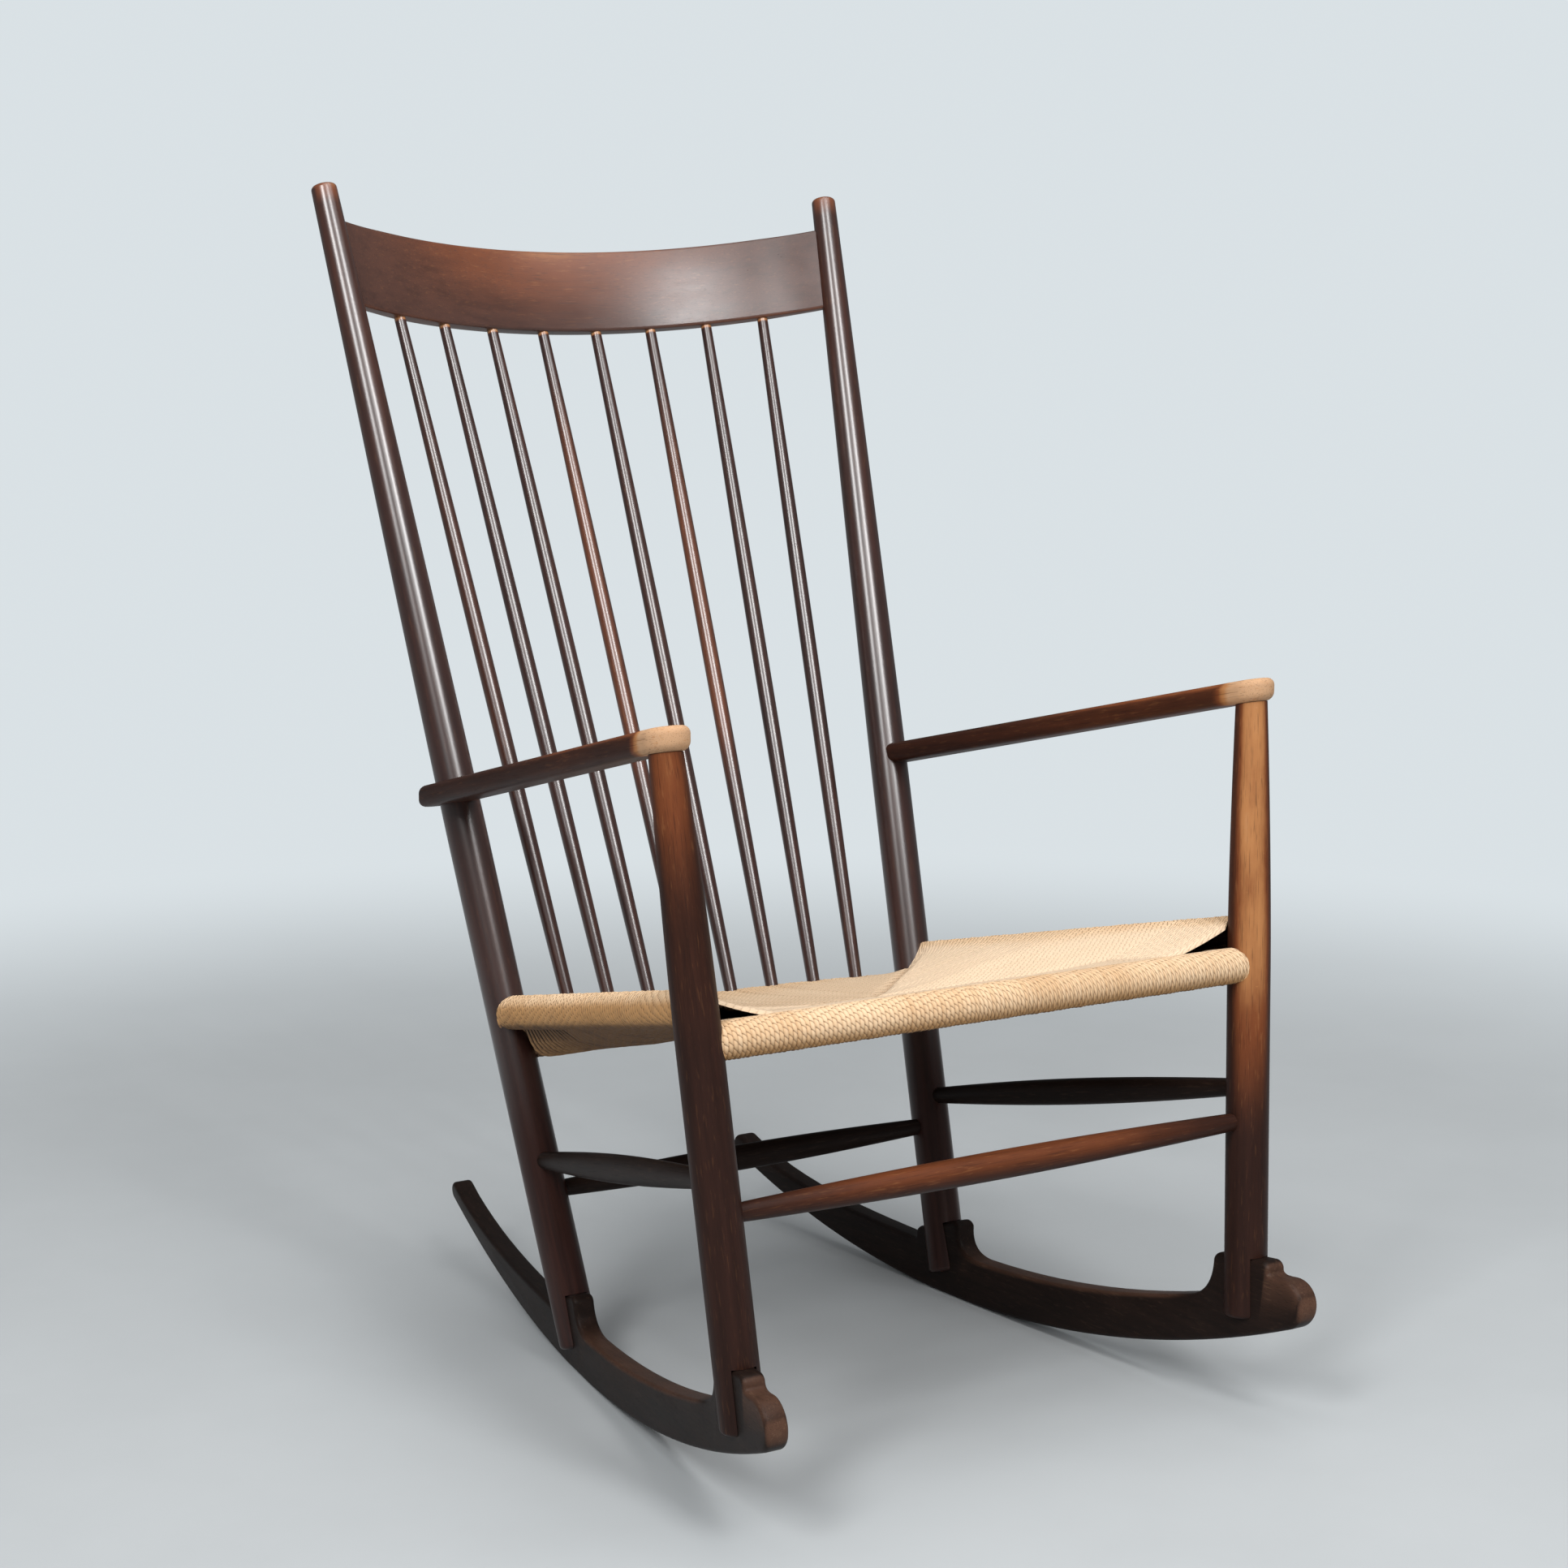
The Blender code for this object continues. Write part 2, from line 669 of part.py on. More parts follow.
def back_rail_point(across):
    """Give the bowed back rail's axis at a distance from the middle."""
    end = post_axis(RIGHT, BACK_RAIL_HEIGHT)
    bow = BACK_RAIL_BOW * (1.0 - (across / end.x) ** 2)
    return Vector((across, end.y - BACK_RAIL_FORWARD + bow, BACK_RAIL_HEIGHT))


def back_rail_rings(extra):
    """Give the cross-sections of the bowed back rail from post to post."""
    face = post_axis(RIGHT, BACK_RAIL_HEIGHT).x - POST_DIAMETER / 2.0
    tip = face + RAIL_DEPTH_IN + extra
    spans = [-tip] + [mix(-face, face, index / CREST_STEPS) for index in range(CREST_STEPS + 1)] + [tip]
    rings = []
    for across in spans:
        near_end = ease((face - abs(across)) / BACK_RAIL_NECK_LENGTH)
        width = mix(RAIL_TENON_RADIUS, BACK_RAIL_HALF_DEPTH, near_end) + extra
        height = mix(RAIL_TENON_RADIUS, RAIL_RADIUS, near_end) + extra
        rings.append(oval_ring(back_rail_point(across), FORWARD_UP, UP, width, height, ROD_SIDES))
    return rings


def straight_rail(name, start, end, start_radius, end_radius, extra=0.0):
    """Make a straight round rail whose ends narrow into the legs."""
    direction = (end - start).normalized()
    first = start + direction * (start_radius - RAIL_DEPTH_IN - extra)
    last = end - direction * (end_radius - RAIL_DEPTH_IN - extra)
    length = (last - first).length
    neck = RAIL_DEPTH_IN + extra
    swell = neck + RAIL_NECK_LENGTH
    pairs = [(0.0, RAIL_TENON_RADIUS), (neck, RAIL_TENON_RADIUS), (swell, RAIL_RADIUS),
             (length - swell, RAIL_RADIUS), (length - neck, RAIL_TENON_RADIUS), (length, RAIL_TENON_RADIUS)]
    stations = round_stations([(place, radius + extra) for place, radius in pairs])
    return rod(name, first, last, stations, ROD_SIDES)


# Stretchers

def stretcher(name, start, end, start_radius, end_radius, half_width, half_height, extra=0.0):
    """Make a stretcher that swells towards its middle and runs into a leg at each end."""
    direction = (end - start).normalized()
    first = start + direction * (start_radius - STRETCHER_DEPTH_IN - extra)
    last = end - direction * (end_radius - STRETCHER_DEPTH_IN - extra)
    length = (last - first).length
    inside = STRETCHER_DEPTH_IN + extra
    end_radius = STRETCHER_END_RADIUS + extra
    stations = [(0.0, end_radius, end_radius), (inside, end_radius, end_radius)]
    for index in range(1, STRETCHER_STEPS):
        share = index / STRETCHER_STEPS
        swell = math.sin(math.pi * share) ** STRETCHER_SWELL_POWER
        stations.append((mix(inside, length - inside, share),
                         mix(STRETCHER_END_RADIUS, half_width, swell) + extra,
                         mix(STRETCHER_END_RADIUS, half_height, swell) + extra))
    stations += [(length - inside, end_radius, end_radius), (length, end_radius, end_radius)]
    return rod(name, first, last, stations, ROD_SIDES)


# Spindles

def spindle_ends(side, number):
    """Give a spindle's top and foot on the crest and on the back rail."""
    radius = crest_bend()
    across = side * radius * math.sin(SPINDLE_TOP_PITCH * (number + 0.5) / radius)
    top = crest_point(across)[0] - back_directions()[0] * crest_half_height()
    foot = back_rail_point(side * SPINDLE_FOOT_PITCH * (number + 0.5)) + UP * RAIL_RADIUS
    return top, foot


def spindle_radius(share):
    """Give the spindle's radius from its foot to its top."""
    if share < SPINDLE_BELLY_PLACE:
        end, rest = SPINDLE_FOOT_DIAMETER, share / SPINDLE_BELLY_PLACE
    else:
        end, rest = SPINDLE_TOP_DIAMETER, (1.0 - share) / (1.0 - SPINDLE_BELLY_PLACE)
    return mix(end, SPINDLE_BELLY_DIAMETER, math.sin(math.pi / 2.0 * rest)) / 2.0


def spindle_mesh(name, side, number, extra=0.0):
    """Turn one spindle with a tenon at its foot and another in the crest."""
    top, foot = spindle_ends(side, number)
    direction = (top - foot).normalized()
    length = (top - foot).length
    tenon = SPINDLE_TENON_DIAMETER / 2.0
    low, high = -SPINDLE_FOOT_DEPTH_IN - extra, length + SPINDLE_TOP_DEPTH_IN + extra
    shoulder = SPINDLE_SHOULDER_LIFT - extra
    pairs = [(low, tenon), (shoulder, tenon)]
    shares = [index / SPINDLE_STEPS for index in range(SPINDLE_STEPS + 1)]
    pairs += [(mix(shoulder, length, share), spindle_radius(share)) for share in shares]
    housed = length + SPINDLE_TOP_HOUSING + extra
    pairs += [(housed, SPINDLE_TOP_DIAMETER / 2.0), (housed, tenon), (high, tenon)]
    start = foot + direction * low
    stations = round_stations([(place - low, radius + extra) for place, radius in pairs])
    return rod(name, start, top, stations, SPINDLE_SIDES)


# Woven seat

def roll_radius():
    """Give the radius of a cord-wound rail."""
    return RAIL_RADIUS + CORD_LAYER


def seat_back(across):
    """Give the depth of the back rail's axis behind a place across the seat."""
    limit = post_axis(RIGHT, BACK_RAIL_HEIGHT).x
    return back_rail_point(min(max(across, -limit), limit)).y


def seat_plan(across_share, depth_share):
    """Give a plan point of the seat and its half width there, from shares across and deep."""
    front = leg_axis(RIGHT, FRONT_RAIL_HEIGHT).y - roll_radius()
    front_half = leg_axis(RIGHT, SIDE_RAIL_FRONT_HEIGHT).x
    back_half = post_axis(RIGHT, SIDE_RAIL_BACK_HEIGHT).x
    half = mix(front_half, back_half, depth_share) + roll_radius()
    across = half * across_share
    back = seat_back(across) + BACK_RAIL_HALF_DEPTH + CORD_LAYER
    return across, mix(front, back, depth_share), half


def seat_heights(across_share, depth_share):
    """Give the seat's upper and lower height before its edges are rounded."""
    across, depth, half = seat_plan(across_share, depth_share)
    roll = roll_radius()
    front, back = leg_axis(RIGHT, FRONT_RAIL_HEIGHT).y, seat_back(across)
    along = min(max((depth - front) / (back - front), 0.0), 1.0)
    base = mix(FRONT_RAIL_HEIGHT, BACK_RAIL_HEIGHT, along)
    side = mix(SIDE_RAIL_FRONT_HEIGHT, SIDE_RAIL_BACK_HEIGHT, along) - base
    from_side = half * (1.0 - abs(across_share))
    from_front, from_back = depth - front + roll, back + roll - depth
    from_end, corner_fade = min((from_front, FRONT_CORNER_FADE), (from_back, BACK_CORNER_FADE))
    inward = max(from_side - roll, 0.0)
    fade = ease(from_end / mix(corner_fade, SLOPE_END_FADE, ease(inward / SIDE_SLOPE_START)))
    slope = max(1.0 - inward / SIDE_SLOPE_REACH, 0.0) ** SIDE_SLOPE_POWER
    hollow = math.sin(math.pi * along) * (1.0 - across_share ** 2) ** SEAT_DIP_POWER
    middle = base + side * slope * fade
    return middle + roll - SEAT_DIP * hollow, middle - roll + SEAT_UNDER_RISE * hollow


def seat_shares(span, steps):
    """Give shares of a span that crowd together on the round of both edges."""
    turns = [math.pi / 2.0 * index / EDGE_STEPS for index in range(EDGE_STEPS + 1)]
    edge = [roll_radius() * (1.0 - math.cos(turn)) / span for turn in turns]
    middle = [mix(edge[-1], 1.0 - edge[-1], index / steps) for index in range(1, steps)]
    return edge + middle + [1.0 - share for share in reversed(edge)]


def edge_round(share, span):
    """Give the share of full thickness near an edge, as on a quarter round."""
    inside = min(min(share, 1.0 - share) * span / roll_radius(), 1.0)
    return math.sqrt(1.0 - (1.0 - inside) ** 2)


def add_grid_faces(work, grid):
    """Skin a grid of points with triangles whose long edges point at the seat's four corners."""
    for row, (first, second) in enumerate(zip(grid, grid[1:])):
        for column in range(len(first) - 1):
            cell = (first[column], first[column + 1], second[column + 1], second[column])
            left_half = 2 * row < len(grid) - 1
            front_half = 2 * column < len(first) - 1
            start = 0 if left_half == front_half else 1
            turned = cell[start:] + cell[:start]
            work.faces.new(turned[:3])
            work.faces.new((turned[2], turned[3], turned[0]))


def seat_mesh(name):
    """Skin the seat: fat rolls on four sides and a dipped middle."""
    width = 2.0 * (leg_axis(RIGHT, SIDE_RAIL_FRONT_HEIGHT).x + roll_radius())
    length = back_rail_point(0.0).y - leg_axis(RIGHT, FRONT_RAIL_HEIGHT).y + 2.0 * roll_radius()
    work = bmesh.new()
    upper, lower = [], []
    for across_share in seat_shares(width, SEAT_STEPS_ACROSS):
        across = 2.0 * across_share - 1.0
        top_line, low_line = [], []
        for deep_share in seat_shares(length, SEAT_STEPS_DEEP):
            x, y, _ = seat_plan(across, deep_share)
            top, under = seat_heights(across, deep_share)
            swell = edge_round(across_share, width) * edge_round(deep_share, length)
            middle = (top + under) / 2.0
            high = work.verts.new((x, y, mix(middle, top, swell)))
            top_line.append(high)
            low_line.append(work.verts.new((x, y, mix(middle, under, swell))) if swell > FIT else high)
        upper.append(top_line)
        lower.append(low_line)
    for grid in (upper, lower):
        add_grid_faces(work, grid)
    bmesh.ops.recalc_face_normals(work, faces=work.faces)
    mesh = bpy.data.meshes.new(name)
    work.to_mesh(mesh)
    work.free()
    return mesh


def leg_room(name, side, axis_point, middle_height, diameter, outward):
    """Make the cutter of the room round a leg, open to the seat's outer corner."""
    reach = 2.0 * roll_radius() + diameter
    radius = (diameter / 2.0 + FIT) / math.cos(math.pi / TURNED_SIDES)
    depth_radius = radius / math.cos(lean(axis_point))
    inner_steps = TURNED_SIDES * 3 // 4
    turns = [math.pi / 2.0 * (1.0 + 3.0 * index / inner_steps) for index in range(inner_steps + 1)]
    outline = [(radius * math.cos(turn), depth_radius * math.sin(turn)) for turn in turns]
    outline += [(reach, 0.0), (reach, reach), (0.0, reach)]
    rings = []
    for height in (middle_height - ROOM_HALF_HEIGHT, middle_height + ROOM_HALF_HEIGHT):
        axis = axis_point(side, height)
        rings.append([axis + Vector((side * aside, outward * away, 0.0)) for aside, away in outline])
    return add_cutter(name, loft(name, rings))


def corner_opening(name, side):
    """Make the cutter of the dark opening between the side roll and the front roll."""
    leg = leg_axis(side, FRONT_RAIL_HEIGHT)
    low = FRONT_RAIL_HEIGHT + CORNER_OPENING_LIFT
    stop = leg.x - side * (LEG_DIAMETER / 2.0 + CORNER_OPENING_LENGTH)
    point_height = low + CORNER_OPENING_HEIGHT / 2.0
    rings = []
    for depth in (leg.y - CORD_LAYER, leg.y - CORD_LAYER + CORNER_OPENING_DEPTH):
        rings.append([Vector((leg.x, depth, low)), Vector((stop, depth, point_height)),
                      Vector((leg.x, depth, low + CORNER_OPENING_HEIGHT))])
    return add_cutter(name, loft(name, rings))


# Assembly

def build_runners_legs_and_posts():
    """Make the runners and the legs and posts that straddle them."""
    turned = {}
    for label, side in SIDES.items():
        add_object(label + "_runner", runner_mesh(label + "_runner", side), BLACK_WOOD)
        leg = add_object(label + "_front_leg", leg_mesh(label + "_front_leg", side), WORN_WOOD)
        post = add_object(label + "_back_post", post_mesh(label + "_back_post", side), DARK_WOOD)
        slots = ((leg, "_leg_slot", leg_axis, LEG_DIAMETER, LEG_SLOT_TOP),
                 (post, "_post_slot", post_axis, POST_DIAMETER, POST_SLOT_TOP))
        for piece, ending, axis_point, diameter, slot_top in slots:
            name = label + ending
            cut(piece, add_cutter(name, slot_mesh(name, side, axis_point, diameter / 2.0, slot_top)))
        cut(post, crest_mortise(label + "_crest_mortise", side))
        turned[label + "_leg"], turned[label + "_post"] = leg, post
    return turned


def build_arms(turned):
    """Make the arms, socketed on the legs, notched round the posts and dowelled to them."""
    for label, side in SIDES.items():
        arm = add_object(label + "_arm", arm_mesh(label + "_arm", side), WORN_WOOD)
        top = leg_axis(side, LEG_TOP_HEIGHT)
        up = (top - leg_axis(side, 0.0)).normalized()
        cut(arm, round_cutter(label + "_arm_socket",
                              top + up * (LEG_TENON_LENGTH + FIT), top - up * LEG_TENON_LENGTH,
                              LEG_TENON_DIAMETER / 2.0 + FIT, TURNED_SIDES, FORWARD_UP))
        low = post_axis(side, ARM_REAR_HEIGHT - ARM_NOTCH_REACH)
        high = post_axis(side, ARM_REAR_HEIGHT + ARM_NOTCH_REACH)
        notch_radius = POST_DIAMETER / 2.0 + FIT
        cut(arm, round_cutter(label + "_arm_notch", high, low, notch_radius, TURNED_SIDES, FORWARD_UP))

        face = post_axis(side, ARM_REAR_HEIGHT) + Vector((side * POST_DIAMETER / 2.0, 0.0, 0.0))
        half = Vector((DOWEL_LENGTH / 2.0, 0.0, 0.0))
        gap = Vector((FIT, 0.0, 0.0))
        radius = DOWEL_DIAMETER / 2.0
        name = label + "_arm_dowel"
        stations = round_stations([(0.0, radius), (DOWEL_LENGTH, radius)])
        add_object(name, rod(name, face - half, face + half, stations, ROD_SIDES), DARK_WOOD)
        hole = round_cutter(label + "_dowel_hole", face - half - gap, face + half + gap,
                            radius + FIT, ROD_SIDES, UP)
        cut(arm, hole)
        cut(turned[label + "_post"], hole)


def build_crest_and_spindles(back_rail, seat):
    """Make the crest and the spindles, with sockets in the crest, the back rail and the seat's roll."""
    crest = add_object("crest_rail", crest_mesh("crest_rail"), WORN_WOOD)
    number = 1
    for side, row in ((LEFT, range(SPINDLE_PAIRS - 1, -1, -1)), (RIGHT, range(SPINDLE_PAIRS))):
        for place in row:
            name = "spindle_%d" % number
            add_object(name, spindle_mesh(name, side, place), DARK_WOOD)
            socket = add_cutter(name + "_socket", spindle_mesh(name + "_socket", side, place, FIT))
            cut(crest, socket)
            cut(back_rail, socket)
            passage = name + "_passage"
            cut(seat, add_cutter(passage, spindle_mesh(passage, side, place, SPINDLE_PASSAGE)))
            number += 1


def build_seat_rails(turned):
    """Make the four seat rails, with sockets in the legs and posts, and give each rail's socket."""
    leg, post = LEG_DIAMETER / 2.0, POST_DIAMETER / 2.0
    front = (leg_axis(LEFT, FRONT_RAIL_HEIGHT), leg_axis(RIGHT, FRONT_RAIL_HEIGHT), leg, leg)
    spans = {"front_seat_rail": (front, ("left_leg", "right_leg"))}
    for label, side in SIDES.items():
        span = (leg_axis(side, SIDE_RAIL_FRONT_HEIGHT), post_axis(side, SIDE_RAIL_BACK_HEIGHT), leg, post)
        spans[label + "_seat_rail"] = (span, (label + "_leg", label + "_post"))
    sockets = []
    for name, (span, hosts) in spans.items():
        add_object(name, straight_rail(name, *span), BLACK_WOOD)
        sockets.append(add_cutter(name + "_socket", straight_rail(name + "_socket", *span, FIT)))
        for host in hosts:
            cut(turned[host], sockets[-1])

    name = "back_seat_rail"
    back_rail = add_object(name, loft(name, back_rail_rings(0.0)), BLACK_WOOD)
    sockets.append(add_cutter(name + "_socket", loft(name + "_socket", back_rail_rings(FIT))))
    for host in ("left_post", "right_post"):
        cut(turned[host], sockets[-1])
    return back_rail, sockets


def build_stretchers(turned):
    """Make the four stretchers, with sockets in the legs and posts."""
    leg, post = LEG_DIAMETER / 2.0, POST_DIAMETER / 2.0
    flat = (FLAT_STRETCHER_HALF_WIDTH, FLAT_STRETCHER_HALF_HEIGHT)
    swell = (FRONT_STRETCHER_SWELL, FRONT_STRETCHER_SWELL)
    spans = {
        "front_stretcher": ((leg_axis(LEFT, FRONT_STRETCHER_HEIGHT), leg_axis(RIGHT, FRONT_STRETCHER_HEIGHT),
                             leg, leg, *swell), ("left_leg", "right_leg"), WORN_WOOD),
        "back_stretcher": ((post_axis(LEFT, BACK_STRETCHER_HEIGHT), post_axis(RIGHT, BACK_STRETCHER_HEIGHT),
                            post, post, *flat), ("left_post", "right_post"), BLACK_WOOD),
    }
    for label, side in SIDES.items():
        span = (leg_axis(side, SIDE_STRETCHER_FRONT_HEIGHT), post_axis(side, SIDE_STRETCHER_BACK_HEIGHT),
                leg, post, *flat)
        spans[label + "_stretcher"] = (span, (label + "_leg", label + "_post"), BLACK_WOOD)
    for name, (span, hosts, colour) in spans.items():
        add_object(name, stretcher(name, *span), colour)
        socket = add_cutter(name + "_socket", stretcher(name + "_socket", *span, FIT))
        for host in hosts:
            cut(turned[host], socket)


def build_seat(sockets):
    """Make the woven seat with room for the rails and the legs."""
    seat = add_object("woven_seat", seat_mesh("woven_seat"), KRAFT_CORD, CORD_ROUGHNESS)
    for socket in sockets:
        cut(seat, socket)
    corners = (("_leg_room", leg_axis, FRONT_RAIL_HEIGHT, LEG_DIAMETER, -1.0),
               ("_post_room", post_axis, BACK_RAIL_HEIGHT, POST_DIAMETER, 1.0))
    for label, side in SIDES.items():
        for ending, axis_point, middle, diameter, outward in corners:
            cut(seat, leg_room(label + ending, side, axis_point, middle, diameter, outward))
        cut(seat, corner_opening(label + "_corner_opening", side))
    return seat


def centre_on_origin():
    """Move the chair so that the middle of its footprint is the origin."""
    bpy.context.view_layer.update()
    corners = [piece.matrix_world @ Vector(corner) for piece in bpy.data.objects
               if piece.type == "MESH" and not piece.hide_render for corner in piece.bound_box]
    depths = [corner.y for corner in corners]
    floor = min(corner.z for corner in corners)
    ROOT.location = (0.0, -(min(depths) + max(depths)) / 2.0, -floor)
    bpy.context.view_layer.update()


TURNED = build_runners_legs_and_posts()
build_arms(TURNED)
BACK_RAIL, RAIL_SOCKETS = build_seat_rails(TURNED)
build_stretchers(TURNED)
SEAT = build_seat(RAIL_SOCKETS)
build_crest_and_spindles(BACK_RAIL, SEAT)
centre_on_origin()
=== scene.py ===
"""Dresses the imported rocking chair: turned and bent wood, a wound cord seat, finishes and a studio."""

import logging
import math
import random
from dataclasses import dataclass
from enum import Enum
from typing import Any, Callable, Dict, List, NamedTuple, Sequence, Tuple, Union

import bmesh
import bpy
from mathutils import Matrix, Vector


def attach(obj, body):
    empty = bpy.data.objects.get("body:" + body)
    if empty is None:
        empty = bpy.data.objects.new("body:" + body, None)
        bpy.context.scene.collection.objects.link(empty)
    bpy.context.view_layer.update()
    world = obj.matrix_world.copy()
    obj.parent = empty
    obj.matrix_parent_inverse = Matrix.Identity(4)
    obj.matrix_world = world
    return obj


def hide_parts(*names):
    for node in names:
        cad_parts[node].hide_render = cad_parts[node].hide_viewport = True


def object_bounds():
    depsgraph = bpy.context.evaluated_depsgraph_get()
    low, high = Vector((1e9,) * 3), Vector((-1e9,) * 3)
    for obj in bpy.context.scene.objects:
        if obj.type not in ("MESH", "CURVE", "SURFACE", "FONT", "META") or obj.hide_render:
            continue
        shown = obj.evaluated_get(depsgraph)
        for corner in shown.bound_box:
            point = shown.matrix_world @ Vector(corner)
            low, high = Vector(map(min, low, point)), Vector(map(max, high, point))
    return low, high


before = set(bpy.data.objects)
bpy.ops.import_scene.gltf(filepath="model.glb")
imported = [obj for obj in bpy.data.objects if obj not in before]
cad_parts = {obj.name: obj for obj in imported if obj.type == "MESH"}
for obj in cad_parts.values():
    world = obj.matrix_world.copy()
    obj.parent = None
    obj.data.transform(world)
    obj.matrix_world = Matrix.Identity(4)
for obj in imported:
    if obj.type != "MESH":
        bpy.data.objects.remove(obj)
CAD_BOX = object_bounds()
LOG = logging.getLogger("rocking_chair")

Point = Tuple[float, float]
Colour = Tuple[float, float, float]
WearRule = Callable[[Vector], float]
Number = Union["Shade", float]

UP = Vector((0.0, 0.0, 1.0))
REARWARD = Vector((0.0, 1.0, 0.0))
SMOOTH_ANGLE = math.radians(38)
GRAIN_STEP = Vector((0.37, 0.61, 0.83))


class Side(Enum):
    """The two sides of the chair, as seen from the front."""

    LEFT = -1
    RIGHT = 1

    def word(self) -> str:
        """Give the side's name as the frame writes it."""
        return self.name.lower()


class GrainSource(Enum):
    """Where a wood finish reads the run of the grain."""

    PIECE = "grain"
    OBJECT = "object"


def mix(first: Any, second: Any, share: float) -> Any:
    """Blend two numbers or two points."""
    return first + (second - first) * share


def smooth(low: float, high: float, value: float) -> float:
    """Blend smoothly from 0 at low to 1 at high."""
    share = min(max((value - low) / (high - low), 0.0), 1.0)
    return share * share * (3.0 - 2.0 * share)


def steps(start: float, stop: float, count: int) -> List[float]:
    """Give evenly spaced numbers, both ends among them."""
    return [mix(start, stop, index / count) for index in range(count + 1)]


@dataclass(frozen=True)
class Layout:
    """Axes of the turned pieces and the shared fits, in metres, before the frame's shift."""

    height: float = 1.069
    post_top: Point = (0.27825, 0.3835)
    post_floor: Point = (0.20065, 0.0133)
    leg_height: float = 0.6145
    leg_top: Point = (0.28825, -0.3106)
    leg_floor: Point = (0.2475, -0.3740)
    leg_radius: float = 0.01875
    post_radius: float = 0.01875
    arm_thickness: float = 0.020
    arm_rear_height: float = 0.509
    nose_front: float = -0.4360
    fit: float = 0.0003

    def shift(self) -> float:
        """Give the frame's shift along the depth."""
        return CAD_BOX[0].y - self.nose_front

    def post_axis(self, side: Side, height: float) -> Vector:
        """Give the point of a back post's axis at a height.

        Args:
            side: The chair's side.
            height: Height above the floor.

        Returns:
            The point on the axis.
        """
        share = height / self.height
        spread, depth = (mix(low, high, share) for low, high in zip(self.post_floor, self.post_top))
        return Vector((side.value * spread, depth, height))

    def leg_axis(self, side: Side, height: float) -> Vector:
        """Give the point of a front leg's axis at a height.

        Args:
            side: The chair's side.
            height: Height above the floor.

        Returns:
            The point on the axis.
        """
        share = height / self.leg_height
        spread, depth = (mix(low, high, share) for low, high in zip(self.leg_floor, self.leg_top))
        return Vector((side.value * spread, depth, height))

    def arm_slope(self) -> float:
        """Give the fall of the arm per metre towards the back.

        Returns:
            The fall as a plain ratio.
        """
        rear = self.post_axis(Side.RIGHT, self.arm_rear_height)
        drop = self.leg_height + self.arm_thickness / 2.0 - self.arm_rear_height
        return drop / (rear.y - self.leg_top[1])

    def arm_under(self, depth: float) -> float:
        """Give the height of the arm's lower face at a depth."""
        return self.leg_height + self.fit - self.arm_slope() * (depth - self.leg_top[1])


class Shade:
    """One value in a finish's node tree, with arithmetic that adds Math nodes."""

    def __init__(self, tree: "FinishTree", socket: bpy.types.NodeSocket) -> None:
        """Keep the tree and the socket that carries the value."""
        self.tree = tree
        self.socket = socket

    def _math(self, operation: str, first: Number, second: Number) -> "Shade":
        """Add one Math node of two values."""
        return self.tree.node("ShaderNodeMath", {"operation": operation}, {0: first, 1: second})

    def __add__(self, other: Number) -> "Shade":
        """Add."""
        return self._math("ADD", self, other)

    def __radd__(self, other: Number) -> "Shade":
        """Add to a number."""
        return self._math("ADD", other, self)

    def __sub__(self, other: Number) -> "Shade":
        """Take away."""
        return self._math("SUBTRACT", self, other)

    def __rsub__(self, other: Number) -> "Shade":
        """Take away from a number."""
        return self._math("SUBTRACT", other, self)

    def __mul__(self, other: Number) -> "Shade":
        """Multiply."""
        return self._math("MULTIPLY", self, other)

    def __rmul__(self, other: Number) -> "Shade":
        """Multiply a number."""
        return self._math("MULTIPLY", other, self)

    def __truediv__(self, other: Number) -> "Shade":
        """Divide."""
        return self._math("DIVIDE", self, other)

    def __pow__(self, other: Number) -> "Shade":
        """Raise to a power."""
        return self._math("POWER", self, other)

    def __abs__(self) -> "Shade":
        """Give the size without its sign."""
        return self._math("ABSOLUTE", self, 0.0)

    def floor(self) -> "Shade":
        """Round down."""
        return self._math("FLOOR", self, 0.0)

    def cosine(self) -> "Shade":
        """Give the cosine of an angle."""
        return self._math("COSINE", self, 0.0)

    def ramp(self, low: float, high: float) -> "Shade":
        """Blend smoothly from 0 at low to 1 at high."""
        return self.tree.node("ShaderNodeMapRange", {"interpolation_type": "SMOOTHSTEP"},
                              {"Value": self, "From Min": low, "From Max": high})


